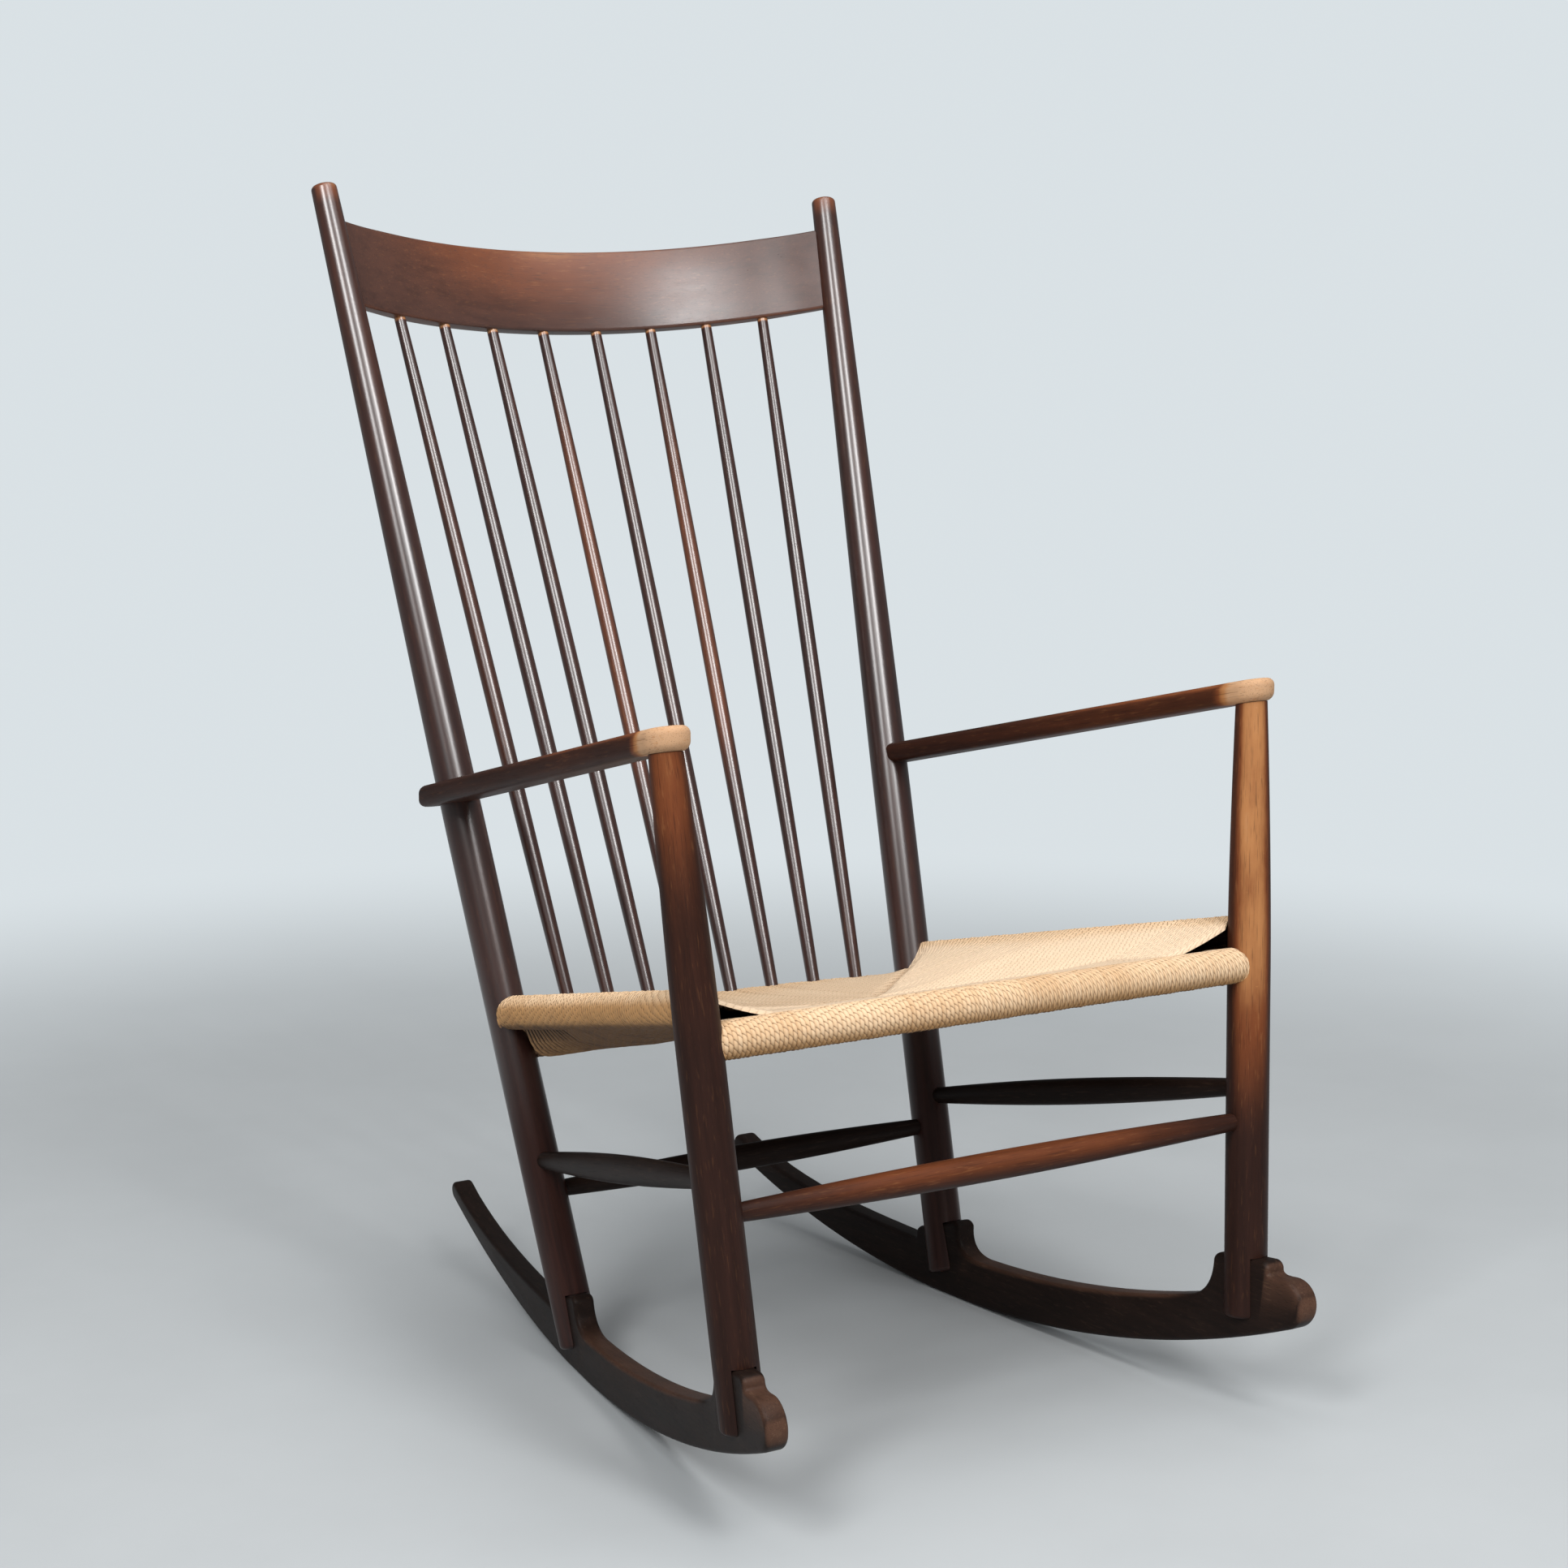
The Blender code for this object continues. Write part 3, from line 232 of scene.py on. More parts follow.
class FinishTree:
    """The node tree of one finish, or of the studio's world."""

    def __init__(self, owner: Union[bpy.types.Material, bpy.types.World]) -> None:
        """Start from the owner's own plain nodes.

        Args:
            owner: The material or world that holds the nodes.
        """
        self.owner = owner
        self.owner.use_nodes = True
        self.nodes = self.owner.node_tree.nodes
        self.links = self.owner.node_tree.links

    @staticmethod
    def _find(sockets: Any, key: Union[int, str]) -> bpy.types.NodeSocket:
        """Find a socket by place, identifier or name.

        Args:
            sockets: A node's inputs or outputs.
            key: The place, identifier or name.

        Returns:
            The socket.
        """
        if isinstance(key, int):
            return sockets[key]
        for socket in sockets:
            if socket.identifier == key:
                return socket
        return sockets[key]

    def feed(self, socket: bpy.types.NodeSocket, value: Any) -> None:
        """Link a value into a socket, or set it there.

        Args:
            socket: The socket to feed.
            value: A value of the tree, a colour or a number.
        """
        if isinstance(value, Shade):
            self.links.new(value.socket, socket)
        elif isinstance(value, tuple) and socket.type == "RGBA":
            socket.default_value = (*value, 1.0)
        else:
            socket.default_value = value

    def node(self, kind: str, settings: Dict[str, Any], inputs: Dict[Union[int, str], Any],
             output: Union[int, str] = 0) -> Shade:
        """Add one node.

        Args:
            kind: The node's type.
            settings: Its settings.
            inputs: The values or links of its sockets.
            output: The socket to read.

        Returns:
            The node's output value.
        """
        made = self.nodes.new(kind)
        for key, value in settings.items():
            setattr(made, key, value)
        for key, value in inputs.items():
            self.feed(self._find(made.inputs, key), value)
        return Shade(self, self._find(made.outputs, output))

    def stretched(self, place: Shade, scale: Tuple[float, float, float]) -> Shade:
        """Stretch a pattern's coordinates."""
        return self.node("ShaderNodeVectorMath", {"operation": "MULTIPLY"}, {0: place, 1: scale})

    def noise(self, place: Shade, scale: float, detail: float = 2.0, roughness: float = 0.5) -> Shade:
        """Add cloudy noise from 0 to 1."""
        return self.node("ShaderNodeTexNoise", {"noise_dimensions": "3D"},
                         {"Vector": place, "Scale": scale, "Detail": detail, "Roughness": roughness}, "Fac")

    def blend(self, share: Number, first: Any, second: Any) -> Shade:
        """Mix two colours."""
        return self.node("ShaderNodeMix", {"data_type": "RGBA"},
                         {"Factor_Float": share, "A_Color": first, "B_Color": second}, "Result_Color")

    def bump(self, height: Shade, strength: float, distance: float) -> Shade:
        """Turn a height into a normal."""
        return self.node("ShaderNodeBump", {}, {"Height": height, "Strength": strength, "Distance": distance})

    def first(self, name: str, values: Dict[str, Any]) -> Shade:
        """Feed a node that the tree starts with.

        Args:
            name: The node's name.
            values: The values or links of its sockets.

        Returns:
            The node's first output.
        """
        made = self.nodes[name]
        for key, value in values.items():
            self.feed(made.inputs[key], value)
        return Shade(self, made.outputs[0])

    def dress(self, values: Dict[str, Any]) -> bpy.types.Material:
        """Feed the Principled shader's own sockets and give the material.

        Args:
            values: The values or links of the shader's sockets.

        Returns:
            The material.
        """
        self.first("Principled BSDF", values)
        return self.owner


@dataclass(frozen=True)
class StainedWood:
    """Dark stained, lacquered beech that wears through to orange brown and then to bare wood."""

    slot: str
    stain: Colour
    streak: Colour
    roughness: float
    specular: float
    relief: float
    mottle: float = 0.35
    coat: float = 0.0
    warm: Colour = (0.150, 0.042, 0.014)
    golden: Colour = (0.370, 0.160, 0.058)
    bare: Colour = (0.480, 0.285, 0.160)

    def material(self, name: str, source: GrainSource) -> bpy.types.Material:
        """Make the finish.

        Args:
            name: The finish's name.
            source: Where the grain's run is read.

        Returns:
            The wood material.
        """
        tree = FinishTree(bpy.data.materials.new("%s_%s" % (name, source.value)))
        if source is GrainSource.PIECE:
            place = tree.node("ShaderNodeAttribute", {"attribute_name": "grain"}, {}, "Vector")
            wear = tree.node("ShaderNodeAttribute", {"attribute_name": "wear"}, {}, "Fac")
        else:
            place = tree.node("ShaderNodeTexCoord", {}, {}, "Object")
            wear = tree.node("ShaderNodeMath", {"operation": "ADD"}, {0: 0.0, 1: 0.0})
        figure = tree.noise(tree.stretched(place, (1.0, 1.0, 0.05)), 150.0, 5.0, 0.6)
        cloud = tree.noise(tree.stretched(place, (1.0, 1.0, 0.4)), 34.0, 4.0, 0.6)
        pores = tree.noise(tree.stretched(place, (1.0, 1.0, 0.03)), 1100.0, 2.0).ramp(0.56, 0.70)
        flecks = tree.noise(tree.stretched(place, (1.0, 1.0, 0.11)), 520.0, 2.0).ramp(0.58, 0.72)
        scuffs = tree.noise(tree.stretched(place, (0.6, 0.6, 1.0)), 330.0, 3.0).ramp(0.69, 0.76)

        streaks = (figure * 1.3 - 0.35 + cloud * self.mottle).ramp(0.05, 0.95)
        stained = tree.blend(streaks, self.stain, self.streak)
        rubbed = wear + wear * (cloud - 0.5) * 0.75 + wear * (figure - 0.5) * 0.45 + scuffs * wear * 0.12
        thin = tree.blend(rubbed.ramp(0.02, 0.44), stained, self.warm)
        rich = tree.blend(rubbed.ramp(0.36, 0.70), thin, self.golden)
        worn = tree.blend(rubbed.ramp(0.66, 0.98), rich, self.bare)
        flecked = tree.blend(flecks * (0.04 + rubbed * 0.40), worn, self.golden)
        colour = tree.blend(pores * 0.42, flecked, self.stain)
        patchy = ((cloud - 0.5) * 0.28 + pores * 0.12) * self.relief
        gloss = self.roughness + patchy + rubbed.ramp(0.3, 1.0) * 0.14
        relief = figure * 0.12 + pores * -0.4 + cloud * 0.5
        if self.coat:
            tree.dress({"Coat Weight": (1.0 - (0.0 - wear).ramp(0.0, 0.4) * 0.75) * self.coat,
                        "Coat Roughness": self.roughness, "Coat IOR": 1.8})
        return tree.dress({"Base Color": colour, "Roughness": gloss, "Specular IOR Level": self.specular,
                           "Normal": tree.bump(relief, self.relief, 0.00004)})


@dataclass(frozen=True)
class PaperCord:
    """Twisted kraft paper cord: two strands laid together, with grooves between the cords."""

    slot: str = "paper_cord"
    pale: Colour = (0.710, 0.515, 0.330)
    # painted light: the lit top of the seat is drawn lighter and cooler
    sunned: Colour = (0.690, 0.540, 0.390)
    kraft: Colour = (0.468, 0.249, 0.094)
    # painted shade: the underside of the seat and the lower runs of the cords are drawn dark
    under: Colour = (0.115, 0.060, 0.031)
    # painted shade in the grooves between cords, in the hollows of the twist and along seams and creases
    groove_shade: Colour = (0.190, 0.098, 0.040)
    # painted shade: near black inside the slits of the parted cords
    slit: Colour = (0.010, 0.006, 0.005)
    lay: float = 0.0150
    twist_depth: float = 0.0009

    def material(self) -> bpy.types.Material:
        """Make the finish from the cord's own UV map: cords across, metres along.

        Returns:
            The cord material.
        """
        tree = FinishTree(bpy.data.materials.new(self.slot))
        threads = tree.node("ShaderNodeUVMap", {"uv_map": "cord"}, {})
        across = tree.node("ShaderNodeSeparateXYZ", {}, {0: threads}, "X")
        along = tree.node("ShaderNodeSeparateXYZ", {}, {0: threads}, "Y")
        number = across.floor()
        inside = across - number
        tint = tree.node("ShaderNodeTexWhiteNoise", {"noise_dimensions": "1D"}, {"W": number}, "Value")
        offset = number * 0.9 + tint * 0.8
        ply = abs((inside * math.pi - along * (2.0 * math.pi / self.lay) + offset).cosine())
        edge = abs(inside * 2.0 - 1.0)
        place = tree.node("ShaderNodeTexCoord", {}, {}, "Object")
        fibres = tree.noise(tree.stretched(threads, (6.0, 260.0, 1.0)), 2.0, 3.0, 0.6)
        age = tree.noise(place, 14.0, 4.0, 0.55)
        spots = tree.noise(place, 48.0, 3.0, 0.6).ramp(0.50, 0.72)

        # painted light and shade, partly browning with age: above 0 the lit top, 0 to -1 the browner shaded
        # side of a roll, -1 to -2 the shaded underside, below -2 the slits
        sun = tree.node("ShaderNodeAttribute", {"attribute_name": "sun"}, {}, "Fac")
        seam = tree.node("ShaderNodeAttribute", {"attribute_name": "seam"}, {}, "Fac")
        shade = 0.0 - sun
        # the top's painted light, the browner shaded side of a roll (partly age) and the painted shade under
        # the seat
        top_lit_share, browned_and_shaded, shaded = sun.ramp(0.0, 1.0), shade.ramp(0.0, 1.0), shade.ramp(1.0, 2.0)
        mottle = (tint * 0.14 + age * 0.60 + fibres * 0.25 - 0.1).ramp(0.1, 1.0)
        body = tree.blend(mottle, self.pale, self.kraft)
        # painted light: the lit top turns lighter and cooler
        top_lit_body = tree.blend(top_lit_share * 0.65, body, self.sunned)
        # the lower sides of the rolls turn browner, partly from age and partly as painted shade
        aged_and_shaded = tree.blend(browned_and_shaded * (0.84 + age * 0.3), top_lit_body, self.kraft)
        # painted shade under the seat, with darker dirt spots on the rolls' browned sides
        dusty_and_shaded = tree.blend(shaded * 0.9 + browned_and_shaded * spots * 0.22, aged_and_shaded, self.under)
        # painted shade in the hollows of the twist and at the edges of each cord
        notch = (1.0 - ply.ramp(0.0, 0.46)) * (0.60 + edge * 0.40)
        hollow = 1.0 - (1.0 - edge ** 6.0 * 0.30) * (1.0 - notch)
        # painted shade: the grooves, seams and creases darken towards the groove colour, less on the lit top
        wound = tree.blend(hollow * (0.95 - top_lit_share * 0.58) + seam * 0.38, dusty_and_shaded, self.groove_shade)
        # painted shade: the slits are drawn near black
        colour = tree.blend(shade.ramp(2.0, 2.6), wound, self.slit)
        relief = ply ** 0.6 + fibres * 0.18
        return tree.dress({"Base Color": colour, "Roughness": 0.72 + fibres * 0.16,
                           "Normal": tree.bump(relief, 0.70, self.twist_depth)})


class Finishes:
    """The chair's finishes, each made once."""

    def __init__(self) -> None:
        """Set the woods and the cord."""
        self.woods: Dict[str, StainedWood] = {
            "leg_wood": StainedWood("worn_wood", (0.0150, 0.0062, 0.0046), (0.0290, 0.0112, 0.0078),
                                    0.43, 0.13, 0.5),
            "arm_wood": StainedWood("worn_wood", (0.0170, 0.0062, 0.0042), (0.0380, 0.0125, 0.0072),
                                    0.43, 0.10, 0.5),
            "crest_wood": StainedWood("worn_wood", (0.0330, 0.0160, 0.0130), (0.0640, 0.0290, 0.0215),
                                      0.31, 0.66, 0.6, 0.85),
            "post_wood": StainedWood("dark_wood", (0.0160, 0.0052, 0.0040), (0.0420, 0.0125, 0.0078),
                                     0.29, 0.10, 0.05, coat=1.0),
            # the rocker's worn colours are greyed, partly to stand in for a painted reflection along the
            # arris
            "rocker_wood": StainedWood("black_wood", (0.0090, 0.0056, 0.0046), (0.0180, 0.0098, 0.0074),
                                       0.43, 0.09, 0.4, warm=(0.085, 0.042, 0.027),
                                       golden=(0.215, 0.128, 0.078)),
        }
        self.cord = PaperCord()
        self._made: Dict[str, bpy.types.Material] = {}

    def wood(self, name: str, source: GrainSource = GrainSource.PIECE) -> bpy.types.Material:
        """Give a wood's material.

        Args:
            name: The wood's name.
            source: Where the grain's run is read.

        Returns:
            The material, made at its first use.
        """
        key = name + source.value
        if key not in self._made:
            self._made[key] = self.woods[name].material(name, source)
        return self._made[key]

    def paper(self) -> bpy.types.Material:
        """Give the cord's material.

        Returns:
            The material, made at its first use.
        """
        if self.cord.slot not in self._made:
            self._made[self.cord.slot] = self.cord.material()
        return self._made[self.cord.slot]


def axis_matrix(start: Vector, end: Vector, reference: Vector) -> Matrix:
    """Give the placing of a piece whose local Z runs from start towards end.

    Args:
        start: The local origin.
        end: A point that the local Z axis points at.
        reference: The direction that local Y leans towards.

    Returns:
        The matrix from local to chair coordinates.
    """
    along = (end - start).normalized()
    across = reference.cross(along).normalized()
    turn = Matrix((across, along.cross(across), along)).transposed().to_4x4()
    return Matrix.Translation(start) @ turn


def turned(profile: Sequence[Point], turns: int) -> bmesh.types.BMesh:
    """Spin a profile once round the local Z axis.

    Args:
        profile: Pairs of radius and distance along the axis, from axis to axis.
        turns: Steps of the spin.

    Returns:
        The closed turning.
    """
    work = bmesh.new()
    row = [work.verts.new((radius, 0.0, distance)) for radius, distance in profile]
    lines = [work.edges.new(pair) for pair in zip(row, row[1:])]
    bmesh.ops.spin(work, geom=row + lines, cent=(0.0, 0.0, 0.0), axis=UP, dvec=(0.0, 0.0, 0.0),
                   angle=2.0 * math.pi, steps=turns, use_merge=True)
    bmesh.ops.remove_doubles(work, verts=work.verts, dist=1e-6)
    bmesh.ops.recalc_face_normals(work, faces=work.faces)
    return work


def slab(outline: Sequence[Point], thickness: float, edge: float, segments: int) -> bmesh.types.BMesh:
    """Extrude an outline into a board with rounded edges.

    Args:
        outline: Points in the local XY plane.
        thickness: Thickness, centred on that plane.
        edge: Radius of the rounded edges.
        segments: Steps of the rounding.

    Returns:
        The closed board.
    """
    work = bmesh.new()
    face = work.faces.new([work.verts.new((x, y, -thickness / 2.0)) for x, y in outline])
    grown = bmesh.ops.extrude_face_region(work, geom=[face])["geom"]
    raised = [item for item in grown if isinstance(item, bmesh.types.BMVert)]
    bmesh.ops.translate(work, verts=raised, vec=(0.0, 0.0, thickness))
    bmesh.ops.recalc_face_normals(work, faces=work.faces)
    caps = [item for item in work.faces if len(item.verts) > 4]
    rims = list({line for cap in caps for line in cap.edges})
    bmesh.ops.bevel(work, geom=rims, offset=edge, offset_type="OFFSET", segments=segments, profile=0.5,
                    affect="EDGES", material=-1, clamp_overlap=False, loop_slide=True)
    return work


def score(work: bmesh.types.BMesh, start: float, stop: float, count: int) -> None:
    """Cut edges across a board at even depths, so that its wear can change along it.

    Args:
        work: The board.
        start: The first depth.
        stop: The last depth.
        count: The number of spaces between cuts.
    """
    for depth in steps(start, stop, count):
        everything = list(work.verts) + list(work.edges) + list(work.faces)
        bmesh.ops.bisect_plane(work, geom=everything, dist=1e-5, plane_co=(0.0, depth, 0.0),
                               plane_no=REARWARD)


def carve(work: bmesh.types.BMesh, cutter: bmesh.types.BMesh) -> bmesh.types.BMesh:
    """Cut one closed shape out of another.

    Args:
        work: The shape to cut.
        cutter: The shape that is taken away.

    Returns:
        The cut shape.
    """
    holders = []
    for label, shape in (("blank", work), ("cutter", cutter)):
        mesh = bpy.data.meshes.new(label)
        shape.to_mesh(mesh)
        shape.free()
        holder = bpy.data.objects.new(label, mesh)
        bpy.context.scene.collection.objects.link(holder)
        holders.append(holder)
    saw = holders[0].modifiers.new("saw", "BOOLEAN")
    saw.operation = "DIFFERENCE"
    saw.solver = "EXACT"
    saw.object = holders[1]
    sawn = bmesh.new()
    sawn.from_mesh(holders[0].evaluated_get(bpy.context.evaluated_depsgraph_get()).to_mesh())
    for holder in holders:
        mesh = holder.data
        bpy.data.objects.remove(holder, do_unlink=True)
        bpy.data.meshes.remove(mesh)
    return sawn


@dataclass
class Chairmaker:
    """Hands finished shapes over to the frame with their finish."""

    layout: Layout
    finishes: Finishes
    count: int = 0

    def _link(self, name: str, work: bmesh.types.BMesh) -> bpy.types.Object:
        """Make a mesh object of a shape and link it to the scene.

        Args:
            name: The piece's name.
            work: Its shape, which is used up.

        Returns:
            The piece.
        """
        mesh = bpy.data.meshes.new(name)
        work.to_mesh(mesh)
        work.free()
        piece = bpy.data.objects.new(name, mesh)
        bpy.context.scene.collection.objects.link(piece)
        return piece

    def _hand_over(self, piece: bpy.types.Object, slot: str, nodes: Sequence[str]) -> None:
        """Shift a piece into the frame, ride it on the chair and hide the solids it stands for.

        Args:
            piece: The piece.
            slot: The name of its finish's slot.
            nodes: The solids that it stands for.
        """
        piece.data.transform(Matrix.Translation((0.0, self.layout.shift(), 0.0)))
        piece.data.shade_smooth()
        piece.data.set_sharp_from_angle(angle=SMOOTH_ANGLE)
        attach(piece, "root")
        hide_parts(*nodes)
        self.count += 1
        LOG.info("%s: %d faces, %s", piece.name, len(piece.data.polygons), slot)

    def wood(self, name: str, work: bmesh.types.BMesh, finish: str, node: str, placing: Matrix,
             wear: WearRule) -> bpy.types.Object:
        """Finish one wooden piece.

        Args:
            name: The piece's name.
            work: Its shape in chair coordinates.
            finish: Its finish's name.
            node: The solid that it stands for.
            placing: The matrix whose local Z is the run of the grain.
            wear: The wear from 0 to 1 at a point.

        Returns:
            The finished piece.
        """
        piece = self._link(name, work)
        inverse = Matrix.Translation(GRAIN_STEP * (self.count + 1)) @ placing.inverted()
        points = [vertex.co.copy() for vertex in piece.data.vertices]
        run = piece.data.attributes.new("grain", "FLOAT_VECTOR", "POINT")
        run.data.foreach_set("vector", [part for point in points for part in inverse @ point])
        rubbed = piece.data.attributes.new("wear", "FLOAT", "POINT")
        rubbed.data.foreach_set("value", [wear(point) for point in points])
        piece.data.materials.append(self.finishes.wood(finish))
        self._hand_over(piece, self.finishes.woods[finish].slot, (node,))
        return piece

    def cord(self, name: str, work: bmesh.types.BMesh) -> bpy.types.Object:
        """Finish one panel of the cord seat.

        Args:
            name: The panel's name.
            work: Its shape in chair coordinates, with its UV map.

        Returns:
            The finished panel.
        """
        piece = self._link(name, work)
        piece.data.materials.append(self.finishes.paper())
        self._hand_over(piece, self.finishes.cord.slot, ("woven_seat",))
        return piece


@dataclass
class Runners:
    """The two rockers: a bulb nose, raised ears round each leg and a long tapering tail."""

    layout: Layout
    thickness: float = 0.021
    height: float = 0.043
    edge: float = 0.0042
    radius: float = 1.055
    contact_depth: float = 0.001
    contact_flat: float = 0.060
    nose_radius: float = 0.0215
    nose_depth: float = -0.4145
    nose_turn: float = math.radians(82)
    tail_depth: float = 0.364
    tail_height: float = 0.019
    ear_corner: float = 0.008
    leg_slot: float = 0.137
    leg_ears: Point = (0.017, 0.010)
    leg_fillet: float = 0.026
    post_slot: float = 0.064
    post_ears: Point = (0.018, 0.010)
    post_fillets: Point = (0.030, 0.014)
    nose_wear: float = 0.40
    ear_wear: float = 0.26
    arris_wear_and_sheen: float = 0.26
    least_wear: float = 0.02
    worn_part: Point = (-0.33, 0.02)
    edge_steps: int = 5
    fineness: int = 12

    def _rise(self, away: float) -> float:
        """Give the rise of the lower curve at a distance from its middle."""
        return self.radius - math.sqrt(self.radius ** 2 - away ** 2)

    def lower(self, depth: float) -> float:
        """Give the height of the lower curve at a depth."""
        return max(self._rise(depth - self.contact_depth) - self._rise(self.contact_flat / 2.0), 0.0)

    def upper(self, depth: float) -> float:
        """Give the height of the upper edge between and behind the legs."""
        back = self.layout.post_axis(Side.RIGHT, self.post_slot).y
        return self.lower(depth) + mix(self.height, self.tail_height, smooth(back, self.tail_depth, depth))

    def side_plane(self) -> Tuple[float, float, float]:
        """Give the middle plane's spread, toe and cant, shared by leg and post.

        Returns:
            The spread at depth and height 0, the toe and the cant.
        """
        lay = self.layout
        leg = lay.leg_axis(Side.RIGHT, (self.leg_slot + self.lower(lay.leg_floor[1])) / 2.0)
        post = lay.post_axis(Side.RIGHT, self.post_slot / 2.0)
        leg_cant = (lay.leg_top[0] - lay.leg_floor[0]) / lay.leg_height
        post_cant = (lay.post_top[0] - lay.post_floor[0]) / lay.height
        cant = (leg_cant + post_cant) / 2.0
        toe = ((post.x - cant * post.z) - (leg.x - cant * leg.z)) / (post.y - leg.y)
        return leg.x - toe * leg.y - cant * leg.z, toe, cant

    def canted(self, side: Side) -> Matrix:
        """Give the shear that leans a flat runner out with the legs.

        Args:
            side: The chair's side.

        Returns:
            The shear as a matrix.
        """
        spread, toe, cant = (side.value * value for value in self.side_plane())
        return Matrix(((1.0, toe, cant, spread), (0.0, 1.0, 0.0, 0.0), (0.0, 0.0, 1.0, 0.0),
                       (0.0, 0.0, 0.0, 1.0)))

    @staticmethod
    def lean(axis: Callable[[Side, float], Vector]) -> float:
        """Give the angle at which an axis leans back."""
        rise = axis(Side.RIGHT, 1.0) - axis(Side.RIGHT, 0.0)
        return math.atan2(rise.y, rise.z)

    def _ear(self, axis: Callable[[Side, float], Vector], radius: float, slot_top: float,
             ears: Point) -> List[Point]:
        """Outline the raised block at a leg, square to the leg, with rounded upper corners.

        Args:
            axis: The leg's axis.
            radius: The leg's radius.
            slot_top: Height of the slot's top on the axis.
            ears: Reach of the block before and behind the leg.

        Returns:
            The block's outline in depth and height, from front to back.
        """
        tilt = self.lean(axis)
        base = axis(Side.RIGHT, slot_top - self.layout.fit)
        corner = self.ear_corner

        def place(aside: float, rise: float) -> Point:
            """Turn a place on the block into depth and height."""
            return (base.y + math.cos(tilt) * aside + math.sin(tilt) * rise,
                    base.z - math.sin(tilt) * aside + math.cos(tilt) * rise)

        front, back = -(radius + ears[0]), radius + ears[1]
        quarter = steps(0.0, math.pi / 2.0, self.fineness)
        rise = [corner * (math.sin(turn) - 1.0) for turn in quarter]
        inset = [corner * (1.0 - math.cos(turn)) for turn in quarter]
        points = [place(front + aside, up) for aside, up in zip(inset, rise)]
        return points + [place(back - aside, up) for aside, up in zip(reversed(inset), reversed(rise))]

    def _bend(self, start: Point, knee: Point, end: Point) -> List[Point]:
        """Give the inner points of a curve that leaves start towards knee and comes from it to end.

        Args:
            start: The first point.
            knee: The point that both ends aim at.
            end: The last point.

        Returns:
            The points between start and end.
        """
        points = []
        for share in steps(0.0, 1.0, self.fineness)[1:-1]:
            near = [mix(first, second, share) for first, second in zip(start, knee)]
            far = [mix(first, second, share) for first, second in zip(knee, end)]
            points.append((mix(near[0], far[0], share), mix(near[1], far[1], share)))
        return points

    def _fillet(self, corner: Point, reach: float) -> List[Point]:
        """Curve from an ear's upright edge into the upper edge, a signed reach away."""
        foot = (corner[0] + reach, self.upper(corner[0] + reach))
        return self._bend(corner, (corner[0], self.upper(corner[0])), foot) + [foot]

    def _along_top(self, start: float, stop: float) -> List[Point]:
        """Give points of the upper edge between two depths."""
        return [(depth, self.upper(depth)) for depth in steps(start, stop, self.fineness)[1:-1]]

    def _end_circle(self, depth: float, radius: float) -> Tuple[Point, float]:
        """Give the centre and the turn of a circle that touches the lower curve from inside.

        Args:
            depth: Depth of the circle's centre.
            radius: The circle's radius.

        Returns:
            The centre in depth and height, and the turn.
        """
        turn = math.asin((depth - self.contact_depth) / (self.radius - radius))
        low = -self._rise(self.contact_flat / 2.0)
        return (depth, low + self.radius - (self.radius - radius) * math.cos(turn)), turn

    def outline(self) -> List[Point]:
        """Outline a runner in depth and height, nose first along the top.

        Returns:
            The outline's points.
        """
        lay = self.layout

        def arc(centre: Point, radius: float, first: float, last: float) -> List[Point]:
            """Give points of an arc."""
            return [(centre[0] + radius * math.cos(turn), centre[1] + radius * math.sin(turn))
                    for turn in steps(first, last, 2 * self.fineness)]

        leg_ear = self._ear(lay.leg_axis, lay.leg_radius, self.leg_slot, self.leg_ears)
        post_ear = self._ear(lay.post_axis, lay.post_radius, self.post_slot, self.post_ears)
        nose, nose_turn = self._end_circle(self.nose_depth, self.nose_radius)
        points = arc(nose, self.nose_radius, math.pi * 1.5 + nose_turn, self.nose_turn)
        rim, ear = points[-1], leg_ear[0]
        knee = (ear[0], rim[1] - (ear[0] - rim[0]) / math.tan(self.nose_turn))
        points += self._bend(rim, knee, ear) + leg_ear + self._fillet(leg_ear[-1], self.leg_fillet)
        front = self._fillet(post_ear[0], -self.post_fillets[0])
        points += self._along_top(points[-1][0], front[-1][0]) + list(reversed(front)) + post_ear
        points += self._fillet(post_ear[-1], self.post_fillets[1])
        tail_radius = self.tail_height / 2.0
        tail, tail_turn = self._end_circle(self.tail_depth - tail_radius, tail_radius)
        points += self._along_top(points[-1][0], tail[0])
        points += arc(tail, tail_radius, tail_turn + math.pi / 2.0, tail_turn - math.pi / 2.0)
        start = self.contact_depth + self.radius * math.sin(tail_turn)
        stop = self.contact_depth + self.radius * math.sin(nose_turn)
        points += [(depth, self.lower(depth)) for depth in steps(start, stop, 4 * self.fineness)[1:-1]]
        return points

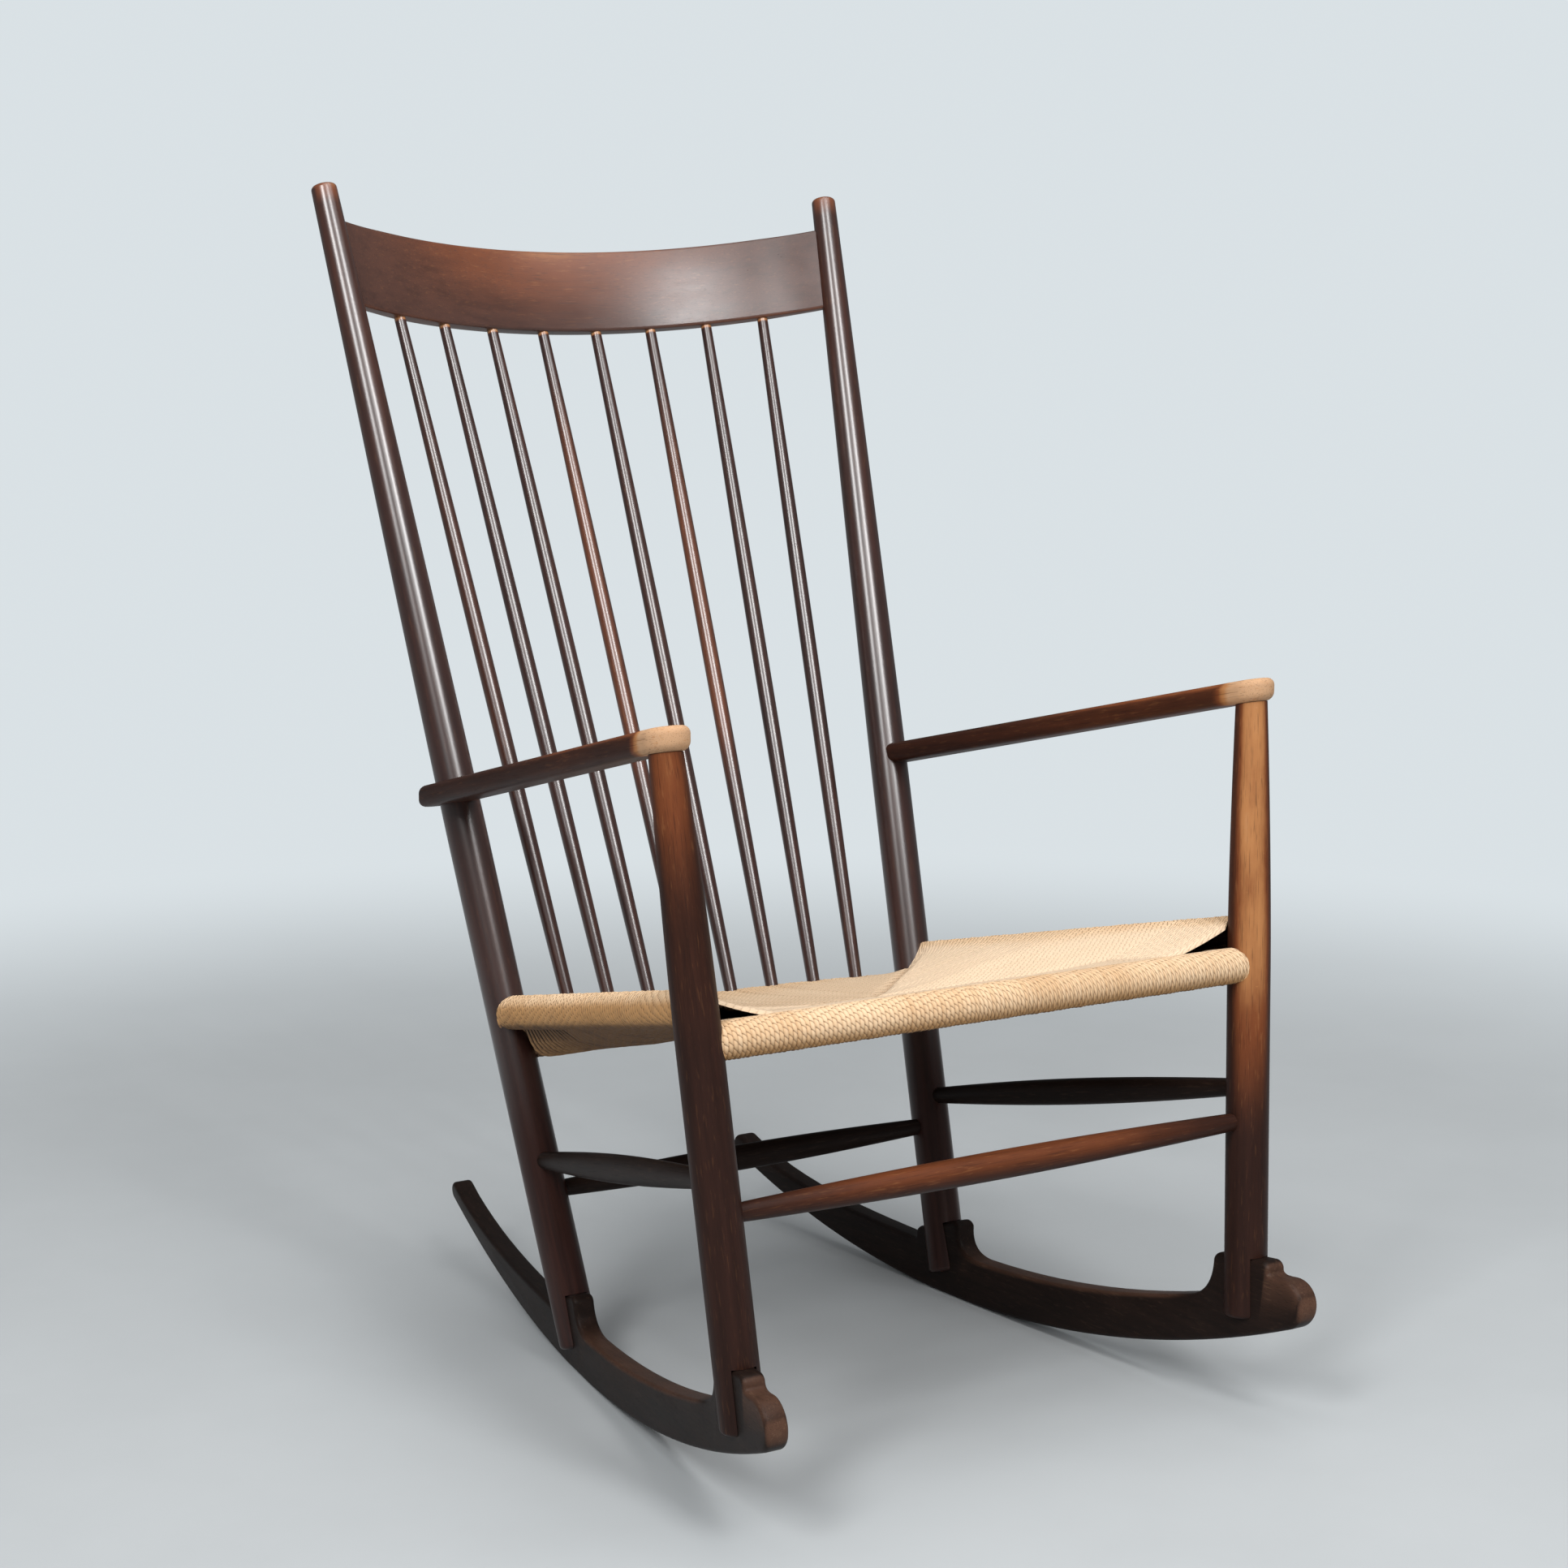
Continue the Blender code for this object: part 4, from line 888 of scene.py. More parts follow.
    def slot_cutter(self, side: Side, axis: Callable[[Side, float], Vector], slot_top: float,
                    radius: float) -> bmesh.types.BMesh:
        """Make the cutter of the slot with which a leg straddles its runner.

        Args:
            side: The chair's side.
            axis: The leg's axis.
            slot_top: Height of the slot's top on the axis.
            radius: The leg's radius.

        Returns:
            The cutter.
        """
        cutter = bmesh.new()
        bmesh.ops.create_cube(cutter, size=1.0)
        wide = self.thickness + 2.0 * self.layout.fit
        reach = 4.0 * radius
        bmesh.ops.scale(cutter, vec=(wide, reach, reach + slot_top), verts=cutter.verts)
        bmesh.ops.translate(cutter, vec=(0.0, 0.0, -(reach + slot_top) / 2.0), verts=cutter.verts)
        top = axis(side, slot_top)
        turn = Matrix.Translation((0.0, top.y, top.z)) @ Matrix.Rotation(-self.lean(axis), 4, "X")
        bmesh.ops.transform(cutter, matrix=self.canted(side) @ turn, verts=cutter.verts)
        return cutter

    def _wear(self, point: Vector) -> float:
        """Rub the nose and the fronts of the ears, and lighten the upper arris with wear and painted
        reflection.

        Args:
            point: A point in chair coordinates.

        Returns:
            The wear from 0 to 1.
        """
        tip = self.nose_depth - self.nose_radius
        nose = smooth(tip + 0.006, tip, point.y)
        ear_front = self.layout.leg_axis(Side.RIGHT, self.leg_slot).y - self.layout.leg_radius
        ear = smooth(ear_front - 0.012, ear_front - 0.016, point.y) * smooth(0.108, 0.116, point.z)
        # the light line along the upper arris is partly wear and partly a painted reflection
        arris = smooth(self.upper(point.y) - 0.006, self.upper(point.y) - 0.001, point.z)
        between = smooth(-0.32, -0.28, point.y) * smooth(0.01, -0.04, point.y)
        return max(self.nose_wear * nose, self.ear_wear * ear * (1.0 - nose),
                   self.arris_wear_and_sheen * arris * between, self.least_wear)

    def build(self, maker: Chairmaker) -> None:
        """Build and dress both runners.

        Args:
            maker: Takes the finished shapes.
        """
        for side in Side:
            work = slab(self.outline(), self.thickness, self.edge, self.edge_steps)
            stand = Matrix(((0.0, 0.0, 1.0, 0.0), (1.0, 0.0, 0.0, 0.0), (0.0, 1.0, 0.0, 0.0),
                            (0.0, 0.0, 0.0, 1.0)))
            bmesh.ops.transform(work, matrix=self.canted(side) @ stand, verts=work.verts)
            score(work, self.nose_depth - self.nose_radius + 0.003, self.nose_depth + 0.045, 18)
            score(work, *self.worn_part, 20)
            placing = axis_matrix(Vector((0.0, 0.0, 0.0)), REARWARD, UP)
            maker.wood(side.word() + "_rocker", work, "rocker_wood", side.word() + "_runner", placing,
                       self._wear)


@dataclass
class LegsAndPosts:
    """The turned front legs and back posts, slotted over the runners."""

    layout: Layout
    runners: Runners
    neck_radius: float = 0.01375
    leg_taper: float = 0.235
    leg_power: float = 1.7
    leg_lift: float = 0.0205
    tip_radius: float = 0.01225
    post_taper: float = 0.63
    post_power: float = 1.25
    post_lift: float = 0.0195
    tip_dome: float = 0.004
    tip_crown: float = 0.0006
    cheek_round: float = 0.004
    foot_wear: float = 0.16
    least_wear: float = 0.05
    tip_wear: float = 0.42
    upper_wear: float = 0.10
    foot_dullness: float = 0.4
    edge_steps: int = 5
    dome_steps: int = 6
    fineness: int = 36
    turns: int = 56

    def leg_radius(self, below: float) -> float:
        """Give the front leg's radius at a distance below its top."""
        share = min(max(below / self.leg_taper, 0.0), 1.0)
        return mix(self.neck_radius, self.layout.leg_radius, 1.0 - (1.0 - share) ** self.leg_power)

    def post_radius(self, below: float) -> float:
        """Give the back post's radius at a distance below its tip."""
        share = min(below / self.post_taper, 1.0)
        return mix(self.tip_radius, self.layout.post_radius, 1.0 - (1.0 - share) ** self.post_power)

    def _foot(self, length: float, radius: float) -> List[Point]:
        """Give the profile of a rounded foot.

        Args:
            length: Length of the turning.
            radius: Its radius.

        Returns:
            Pairs of radius and distance along the axis.
        """
        edge = self.cheek_round
        arc = [(radius - edge * (1.0 - math.cos(turn)), length - edge * (1.0 - math.sin(turn)))
               for turn in steps(0.0, math.pi / 2.0, self.edge_steps)]
        return arc + [(0.0, length)]

    def _leg(self, side: Side) -> Tuple[bmesh.types.BMesh, Matrix]:
        """Turn a front leg and trim its top under the arm.

        Args:
            side: The chair's side.

        Returns:
            The leg and its placing.
        """
        lay = self.layout
        top = lay.leg_axis(side, lay.leg_height)
        foot_depth = lay.leg_axis(side, self.runners.leg_slot).y
        foot = lay.leg_axis(side, self.runners.lower(foot_depth) + self.leg_lift)
        length = (top - foot).length
        reach = self.neck_radius
        profile = [(0.0, -reach), (self.neck_radius, -reach), (self.neck_radius, 0.0)]
        tapered = steps(0.0, self.leg_taper, self.fineness)[1:]
        straight = steps(self.leg_taper, length - self.cheek_round, self.fineness)[1:-1]
        profile += [(self.leg_radius(below), below) for below in tapered]
        profile += [(lay.leg_radius, below) for below in straight]
        work = turned(profile + self._foot(length, lay.leg_radius), self.turns)
        placing = axis_matrix(top, foot, REARWARD)
        bmesh.ops.transform(work, matrix=placing, verts=work.verts)
        plane = Vector((0.0, lay.arm_slope(), 1.0))
        under = Vector((0.0, lay.leg_top[1], lay.arm_under(lay.leg_top[1]) - lay.fit))
        everything = list(work.verts) + list(work.edges) + list(work.faces)
        cut = bmesh.ops.bisect_plane(work, geom=everything, plane_co=under, plane_no=plane, clear_outer=True)
        rim = [item for item in cut["geom_cut"] if isinstance(item, bmesh.types.BMEdge)]
        bmesh.ops.edgeloop_fill(work, edges=rim)
        cutter = self.runners.slot_cutter(side, lay.leg_axis, self.runners.leg_slot, lay.leg_radius)
        return carve(work, cutter), placing

    def _post(self, side: Side) -> Tuple[bmesh.types.BMesh, Matrix]:
        """Turn a back post with a softly domed tip.

        Args:
            side: The chair's side.

        Returns:
            The post and its placing.
        """
        lay = self.layout
        top = lay.post_axis(side, lay.height)
        foot_depth = lay.post_axis(side, self.runners.post_slot / 2.0).y
        foot = lay.post_axis(side, self.runners.lower(foot_depth) + self.post_lift)
        length = (top - foot).length
        dome = self.tip_dome
        profile = [(0.0, -self.tip_crown)]
        profile += [(self.tip_radius - dome * (1.0 - math.sin(turn)), dome * (1.0 - math.cos(turn)))
                    for turn in steps(0.0, math.pi / 2.0, self.dome_steps)]
        tapered = steps(dome, self.post_taper, self.fineness)[1:]
        straight = steps(self.post_taper, length - self.cheek_round, self.fineness)[1:-1]
        profile += [(self.post_radius(below), below) for below in tapered]
        profile += [(lay.post_radius, below) for below in straight]
        work = turned(profile + self._foot(length, lay.post_radius), self.turns)
        placing = axis_matrix(top, foot, REARWARD)
        bmesh.ops.transform(work, matrix=placing, verts=work.verts)
        cutter = self.runners.slot_cutter(side, lay.post_axis, self.runners.post_slot, lay.post_radius)
        return carve(work, cutter), placing

    def _leg_wear(self, side: Side) -> WearRule:
        """Rub the top of a front leg, more on the right than on the left, most where it faces the camera:
        partly wear, partly painted sheen.

        Args:
            side: The chair's side.

        Returns:
            The rule of the leg's wear.
        """
        level, low, edges = (0.28, 0.11, 0.55) if side is Side.LEFT else (0.05, 0.61, 0.25)
        fade = (0.28, 0.50) if side is Side.LEFT else (0.20, 0.43)
        wear_and_sheen_way = Vector((-0.51, -0.86, 0.0))

        def wear(point: Vector) -> float:
            """Give the wear, with its painted sheen, at a point of the leg.

            Args:
                point: A point in chair coordinates.

            Returns:
                The wear from 0 to 1.
            """
            out = point - self.layout.leg_axis(side, point.z)
            # painted sheen: the side that faces the camera is rubbed lighter, the edges less
            facing = smooth(0.45, 0.95, Vector((out.x, out.y, 0.0)).normalized().dot(wear_and_sheen_way))
            top = level * smooth(0.48, 0.61, point.z) + low * smooth(*fade, point.z)
            foot = self.foot_wear * smooth(0.058, 0.050, point.z)
            return max(top * mix(edges, 1.0, facing), foot, self.least_wear)
        return wear

    def _post_wear(self, point: Vector) -> float:
        """Rub the rim of a post's tip and, lightly, its upper half, and dull its foot with a wear below 0.

        Args:
            point: A point in chair coordinates.

        Returns:
            The wear, up to 1.
        """
        height = self.layout.height
        tip = smooth(height - 0.0045, height - 0.0015, point.z)
        rubbed = max(self.tip_wear * tip, self.upper_wear * smooth(0.55, 0.95, point.z))
        return rubbed - self.foot_dullness * smooth(0.32, 0.16, point.z)

    def build(self, maker: Chairmaker) -> None:
        """Build and dress both legs and both posts.

        Args:
            maker: Takes the finished shapes.
        """
        for side in Side:
            leg, placing = self._leg(side)
            maker.wood(side.word() + "_leg_turning", leg, "leg_wood", side.word() + "_front_leg", placing,
                       self._leg_wear(side))
            post, placing = self._post(side)
            maker.wood(side.word() + "_post_turning", post, "post_wood", side.word() + "_back_post", placing,
                       self._post_wear)


@dataclass
class Arms:
    """The two slim arms, round at both ends, notched round the posts."""

    layout: Layout
    front_radius: float = 0.0190
    rear_radius: float = 0.0245
    rear_offset: float = 0.012
    rear_overrun: float = 0.002
    edge: float = 0.0070
    notch_reach: float = 0.06
    rim_wear: float = 0.30
    least_wear: float = 0.05
    edge_steps: int = 6
    fineness: int = 24
    turns: int = 56

    def _outline(self, side: Side) -> Tuple[List[Point], Vector, Vector]:
        """Outline an arm in plan.

        Args:
            side: The chair's side.

        Returns:
            The outline, and the middles of its front and rear ends.
        """
        lay = self.layout
        front = lay.leg_axis(side, lay.leg_height)
        post = lay.post_axis(side, lay.arm_rear_height)
        rear = post + Vector((side.value * self.rear_offset, self.rear_overrun, 0.0))
        along = Vector((rear.x - front.x, rear.y - front.y, 0.0)).normalized()
        outward = Vector((-along.y, along.x, 0.0))
        points: List[Point] = []
        for centre, radius, first in ((front, self.front_radius, 0.5), (rear, self.rear_radius, -0.5)):
            for turn in steps(first * math.pi, (first + 1.0) * math.pi, self.fineness):
                spot = centre + along * (radius * math.cos(turn)) + outward * (radius * math.sin(turn))
                points.append((spot.x, spot.y))
        return points, front, rear

    def _wear(self, side: Side) -> WearRule:
        """Rub an arm's hand end bare, and the right one a good way back.

        Args:
            side: The chair's side.

        Returns:
            The rule of the arm's wear.
        """
        front = self.layout.leg_top[1]
        hand_level, reach, level = (1.0, 0.12, 0.09) if side is Side.LEFT else (0.95, 0.24, 0.16)

        def wear(point: Vector) -> float:
            """Give the wear at a point of the arm.

            Args:
                point: A point in chair coordinates.

            Returns:
                The wear from 0 to 1.
            """
            hand = hand_level * smooth(front + 0.034, front + 0.004, point.y)
            back = level * smooth(front + reach, front + 0.02, point.y)
            above = point.z - self.layout.arm_under(point.y) - self.layout.arm_thickness
            rim = self.rim_wear * smooth(-0.0045, -0.0015, above) * smooth(0.05, -0.15, point.y)
            return max(hand, back + rim, mix(self.least_wear, level, smooth(0.10, -0.15, point.y)))
        return wear

    def build(self, maker: Chairmaker) -> None:
        """Build and dress both arms.

        Args:
            maker: Takes the finished shapes.
        """
        lay = self.layout
        for side in Side:
            outline, front, rear = self._outline(side)
            work = slab(outline, lay.arm_thickness, self.edge, self.edge_steps)
            slope = Matrix.Identity(4)
            slope[2][1] = -lay.arm_slope()
            slope[2][3] = lay.arm_under(0.0) + lay.arm_thickness / 2.0
            bmesh.ops.transform(work, matrix=slope, verts=work.verts)
            score(work, front.y - 0.012, front.y + 0.06, 18)
            score(work, front.y + 0.07, rear.y - 0.04, 30)
            low = lay.post_axis(side, lay.arm_rear_height - self.notch_reach)
            high = lay.post_axis(side, lay.arm_rear_height + self.notch_reach)
            radius, length = lay.post_radius + lay.fit, (high - low).length
            notch = turned([(0.0, 0.0), (radius, 0.0), (radius, length), (0.0, length)], self.turns)
            bmesh.ops.transform(notch, matrix=axis_matrix(low, high, REARWARD), verts=notch.verts)
            placing = axis_matrix(front, rear, UP)
            maker.wood(side.word() + "_arm_rest", carve(work, notch), "arm_wood", side.word() + "_arm",
                       placing, self._wear(side))


@dataclass
class BackRest:
    """The bent crest rail and the eight spindles below it."""

    layout: Layout
    crest_drop: float = 0.031
    crest_height: float = 0.080
    crest_thickness: float = 0.015
    end_thickness: float = 0.011
    end_length: float = 0.045
    sag: float = 0.084
    edge: float = 0.003
    housing: float = 0.009
    tip_radius: float = 0.0142
    top_pitch: float = 0.0600
    foot_pitch: float = 0.0446
    top_radius: float = 0.0054
    belly_radius: float = 0.0080
    foot_radius: float = 0.00625
    belly_place: float = 0.42
    collar: float = 0.0034
    rail_height: float = 0.2855
    rail_forward: float = 0.008
    rail_bow: float = 0.029
    rail_radius: float = 0.0105
    spindle_wear: Tuple[float, ...] = (0.14, 0.05, 0.08, 0.30, 0.10, 0.30, 0.05, 0.04)
    ring_wear: float = 0.70
    crest_wear: float = 0.42
    low_edge_wear: float = 0.25
    least_wear: float = 0.05
    foot_depth: float = 0.004
    top_depth: float = 0.003
    bends: int = 72
    turns: int = 24
    fineness: int = 40

    def directions(self) -> Tuple[Vector, Vector]:
        """Give the back's upward and rearward directions.

        Returns:
            The two directions, square to each other.
        """
        rise = self.layout.post_axis(Side.RIGHT, 1.0) - self.layout.post_axis(Side.RIGHT, 0.0)
        rise.x = 0.0
        rise.normalize()
        return rise, Vector((0.0, rise.z, -rise.y))

    def end(self) -> Vector:
        """Give the post's axis at the crest's middle height."""
        lay = self.layout
        return lay.post_axis(Side.RIGHT, lay.height - self.crest_drop - self.crest_height / 2.0)

    def radius(self) -> float:
        """Give the radius of the crest's bend."""
        return (self.end().x ** 2 + self.sag ** 2) / (2.0 * self.sag)

    def half_height(self) -> float:
        """Give half the crest's height along the rake."""
        return self.crest_height / 2.0 / self.directions()[0].z

    def placing(self) -> Matrix:
        """Give the crest's local axes: across, rearward and up the rake.

        Returns:
            The matrix from local to chair coordinates.
        """
        rise, rearward = self.directions()
        turn = Matrix((Vector((1.0, 0.0, 0.0)), rearward, rise)).transposed().to_4x4()
        return Matrix.Translation((0.0, self.end().y, self.end().z)) @ turn

    def crest(self) -> bmesh.types.BMesh:
        """Bend the crest from one rounded section, thin its ends and splay it with the posts.

        Returns:
            The crest in chair coordinates.
        """
        bend, half = self.radius(), self.half_height()
        tip = self.end().x - self.tip_radius + self.housing
        start = self.end().x - 2.0 * self.tip_radius
        work = bmesh.new()
        thick = self.crest_thickness / 2.0
        corners = ((-thick, -half), (thick, -half), (thick, half), (-thick, half))
        work.faces.new([work.verts.new((0.0, self.sag + out, high)) for out, high in corners])
        bmesh.ops.bevel(work, geom=list(work.verts), offset=self.edge, offset_type="OFFSET", segments=4,
                        profile=0.5, affect="VERTICES", material=-1)
        centre = Vector((0.0, self.sag - bend, 0.0))
        swing = math.asin(tip / bend)
        bmesh.ops.rotate(work, verts=work.verts, cent=centre, matrix=Matrix.Rotation(-swing, 3, "Z"))
        section = list(work.verts) + list(work.edges) + list(work.faces)
        bmesh.ops.spin(work, geom=section, cent=centre, axis=UP, dvec=(0.0, 0.0, 0.0), angle=2.0 * swing,
                       steps=self.bends, use_merge=False)
        bmesh.ops.recalc_face_normals(work, faces=work.faces)
        lay = self.layout
        splay = (lay.post_top[0] - lay.post_floor[0]) / lay.height * self.directions()[0].z / self.end().x
        for vertex in work.verts:
            arm = vertex.co - centre
            away = math.hypot(arm.x, arm.y)
            near = smooth(start - self.end_length, start, abs(vertex.co.x))
            slim = mix(1.0, self.end_thickness / self.crest_thickness, near)
            grown = (bend + (away - bend) * slim) / away
            vertex.co.x, vertex.co.y = arm.x * grown, centre.y + arm.y * grown
            vertex.co.x += vertex.co.z * splay * vertex.co.x
        bmesh.ops.transform(work, matrix=self.placing(), verts=work.verts)
        return work

    def spindle_ends(self, side: Side, number: int) -> Tuple[Vector, Vector]:
        """Give a spindle's foot on the back rail and its top on the crest.

        Args:
            side: The chair's side.
            number: The spindle's number from the middle.

        Returns:
            The foot and the top.
        """
        lay, bend = self.layout, self.radius()
        across = side.value * bend * math.sin(self.top_pitch * (number + 0.5) / bend)
        sag = math.sqrt(bend ** 2 - across ** 2) - (bend - self.sag)
        top = self.placing() @ Vector((across, sag, -self.half_height()))
        rail = lay.post_axis(Side.RIGHT, self.rail_height)
        aside = side.value * self.foot_pitch * (number + 0.5)
        bow = self.rail_bow * (1.0 - (aside / rail.x) ** 2)
        return Vector((aside, rail.y - self.rail_forward + bow, self.rail_height + self.rail_radius)), top

    def spindle_radius(self, share: float) -> float:
        """Give a spindle's radius from its foot to its top.

        Args:
            share: Share of the way from foot to top.

        Returns:
            The radius.
        """
        if share < self.belly_place:
            end, rest = self.foot_radius, share / self.belly_place
        else:
            end, rest = self.top_radius, (1.0 - share) / (1.0 - self.belly_place)
        return mix(end, self.belly_radius, math.sin(math.pi / 2.0 * rest))

    def _spindle_wear(self, number: int, foot: Vector, top: Vector) -> WearRule:
        """Rub a spindle's middle where backs lean on it, and leave its collar at the crest bare.

        Args:
            number: The spindle's number from the viewer's left.
            foot: Its foot.
            top: Its top.

        Returns:
            The rule of the spindle's wear.
        """
        level = self.spindle_wear[number - 1]
        along = (top - foot).normalized()
        length = (top - foot).length
        far_way = Vector((0.75, 0.66, 0.0))

        def wear(point: Vector) -> float:
            """Give the wear at a point of the spindle.

            Args:
                point: A point in chair coordinates.

            Returns:
                The wear from 0 to 1.
            """
            share = (point - foot).dot(along) / length
            middle = smooth(0.18, 0.45, share) * smooth(1.05, 0.70, share)
            out = (point - foot - along * (share * length)).normalized()
            facing = smooth(0.4, -0.9, out.dot(far_way))
            ring = smooth(length - 1.2 * self.collar, length - 0.8 * self.collar, share * length)
            return max(level * middle * mix(0.45, 1.0, facing), self.ring_wear * ring, self.least_wear)
        return wear

    def _crest_wear(self, point: Vector) -> float:
        """Rub the crest's upper middle, fading towards its ends and lower edge.

        Args:
            point: A point in chair coordinates.

        Returns:
            The wear from 0 to 1.
        """
        local = self.placing().inverted() @ point
        rise = smooth(-self.half_height(), self.half_height() * 1.1, local.z)
        middle = math.exp(-((local.x + 0.02) / 0.16) ** 2)
        low_edge = smooth(-self.half_height() + 0.004, -self.half_height(), local.z)
        rubbed = self.crest_wear * rise ** 2.0 * middle
        return self.least_wear + rubbed + self.low_edge_wear * low_edge * (1.0 - middle)

    def build(self, maker: Chairmaker) -> None:
        """Build and dress the crest and the spindles, numbered from the viewer's left.

        Args:
            maker: Takes the finished shapes.
        """
        run = axis_matrix(Vector((0.0, 0.0, 0.0)), Vector((1.0, 0.0, 0.0)), UP)
        maker.wood("crest_board", self.crest(), "crest_wood", "crest_rail", run, self._crest_wear)
        half = len(self.spindle_wear) // 2
        places = [(Side.LEFT, number) for number in reversed(range(half))]
        places += [(Side.RIGHT, number) for number in range(half)]
        for number, (side, place) in enumerate(places, 1):
            foot, top = self.spindle_ends(side, place)
            length = (top - foot).length
            profile = [(0.0, -self.foot_depth), (self.foot_radius, -self.foot_depth)]
            collar = [1.0 - self.collar / length * part for part in (1.3, 1.0, 0.7)]
            shares = steps(0.0, 1.0, self.fineness)[:-1] + collar + [1.0]
            profile += [(self.spindle_radius(share), share * length) for share in shares]
            profile += [(self.top_radius, length + self.top_depth), (0.0, length + self.top_depth)]
            work = turned(profile, self.turns)
            placing = axis_matrix(foot, top, REARWARD)
            bmesh.ops.transform(work, matrix=placing, verts=work.verts)
            maker.wood("spindle_turning_%d" % number, work, "post_wood", "spindle_%d" % number, placing,
                       self._spindle_wear(number, foot, top))


@dataclass
class Stretchers:
    """The round front stretcher and the three flatter ones."""

    layout: Layout
    front_height: float = 0.2545
    side_heights: Point = (0.283, 0.182)
    back_height: float = 0.155
    end_radius: float = 0.0078
    depth_in: float = 0.013
    power: float = 0.9
    round_swell: Point = (0.0120, 0.0120)
    flat_swell: Point = (0.0085, 0.0125)
    foot_wear: float = 0.20
    front_wear: float = 0.07
    least_wear: float = 0.05
    turns: int = 32
    fineness: int = 40

    def _turn(self, start: Vector, end: Vector, swell: Point) -> Tuple[bmesh.types.BMesh, Matrix]:
        """Turn one stretcher between two legs and flatten its swell.

        Args:
            start: The first leg's axis.
            end: The second leg's axis.
            swell: Half width and half height in the middle.

        Returns:
            The shape and its placing.
        """
        inside = self.layout.leg_radius - self.depth_in
        length = (end - start).length
        reach = self.layout.leg_radius
        profile = [(0.0, inside), (self.end_radius, inside)]
        profile += [(self.end_radius, place) for place in steps(reach, length - reach, self.fineness)]
        profile += [(self.end_radius, length - inside), (0.0, length - inside)]
        work = turned(profile, self.turns)
        for vertex in work.verts:
            share = min(max((vertex.co.z - reach) / (length - 2.0 * reach), 0.0), 1.0)
            rise = math.sin(math.pi * share) ** self.power
            vertex.co.x *= mix(1.0, swell[0] / self.end_radius, rise)
            vertex.co.y *= mix(1.0, swell[1] / self.end_radius, rise)
        placing = axis_matrix(start, end, UP)
        bmesh.ops.transform(work, matrix=placing, verts=work.verts)
        return work, placing

    def _front_wear(self, point: Vector) -> float:
        """Rub the upper front of the front stretcher, where feet rest.

        Args:
            point: A point in chair coordinates.

        Returns:
            The wear from 0 to 1.
        """
        middle = smooth(0.25, 0.10, abs(point.x))
        above = smooth(self.front_height - 0.012, self.front_height + 0.008, point.z)
        return self.front_wear + self.foot_wear * middle * above

    def build(self, maker: Chairmaker) -> None:
        """Build and dress the four stretchers.

        Args:
            maker: Takes the finished shapes.
        """
        lay = self.layout
        left, right = Side.LEFT, Side.RIGHT
        work, placing = self._turn(lay.leg_axis(left, self.front_height),
                                   lay.leg_axis(right, self.front_height), self.round_swell)
        maker.wood("front_foot_bar", work, "leg_wood", "front_stretcher", placing, self._front_wear)
        spans = {"back": (lay.post_axis(left, self.back_height), lay.post_axis(right, self.back_height))}
        for side in Side:
            spans[side.word()] = (lay.leg_axis(side, self.side_heights[0]),
                                  lay.post_axis(side, self.side_heights[1]))
        for word, (start, end) in spans.items():
            work, placing = self._turn(start, end, self.flat_swell)
            maker.wood(word + "_cross_bar", work, "rocker_wood", word + "_stretcher", placing,
                       lambda point: self.least_wear)


class Rail(Enum):
    """The four rails that the cord is wound round."""

    FRONT = "front"
    BACK = "back"
    LEFT = "left"
    RIGHT = "right"

    def beside(self) -> bool:
        """Say whether this is one of the two side rails."""
        return self in (Rail.LEFT, Rail.RIGHT)


class CordRun(NamedTuple):
    """What one cord of a panel follows.

    These are the rail's axis point, the inward direction, the length to the seam, the distance from the
    nearer corner, and the height that the cord gains towards its seam.
    """

    axis: Vector
    inward: Vector
    reach: float
    away: float
    gain: float


class CordPoint(NamedTuple):
    """A point along a cord: its place, its outward direction, its painted light and shade with some browning,
    its nearness to a seam.
    """

    place: Vector
    outward: Vector
    sun: float
    seam: float


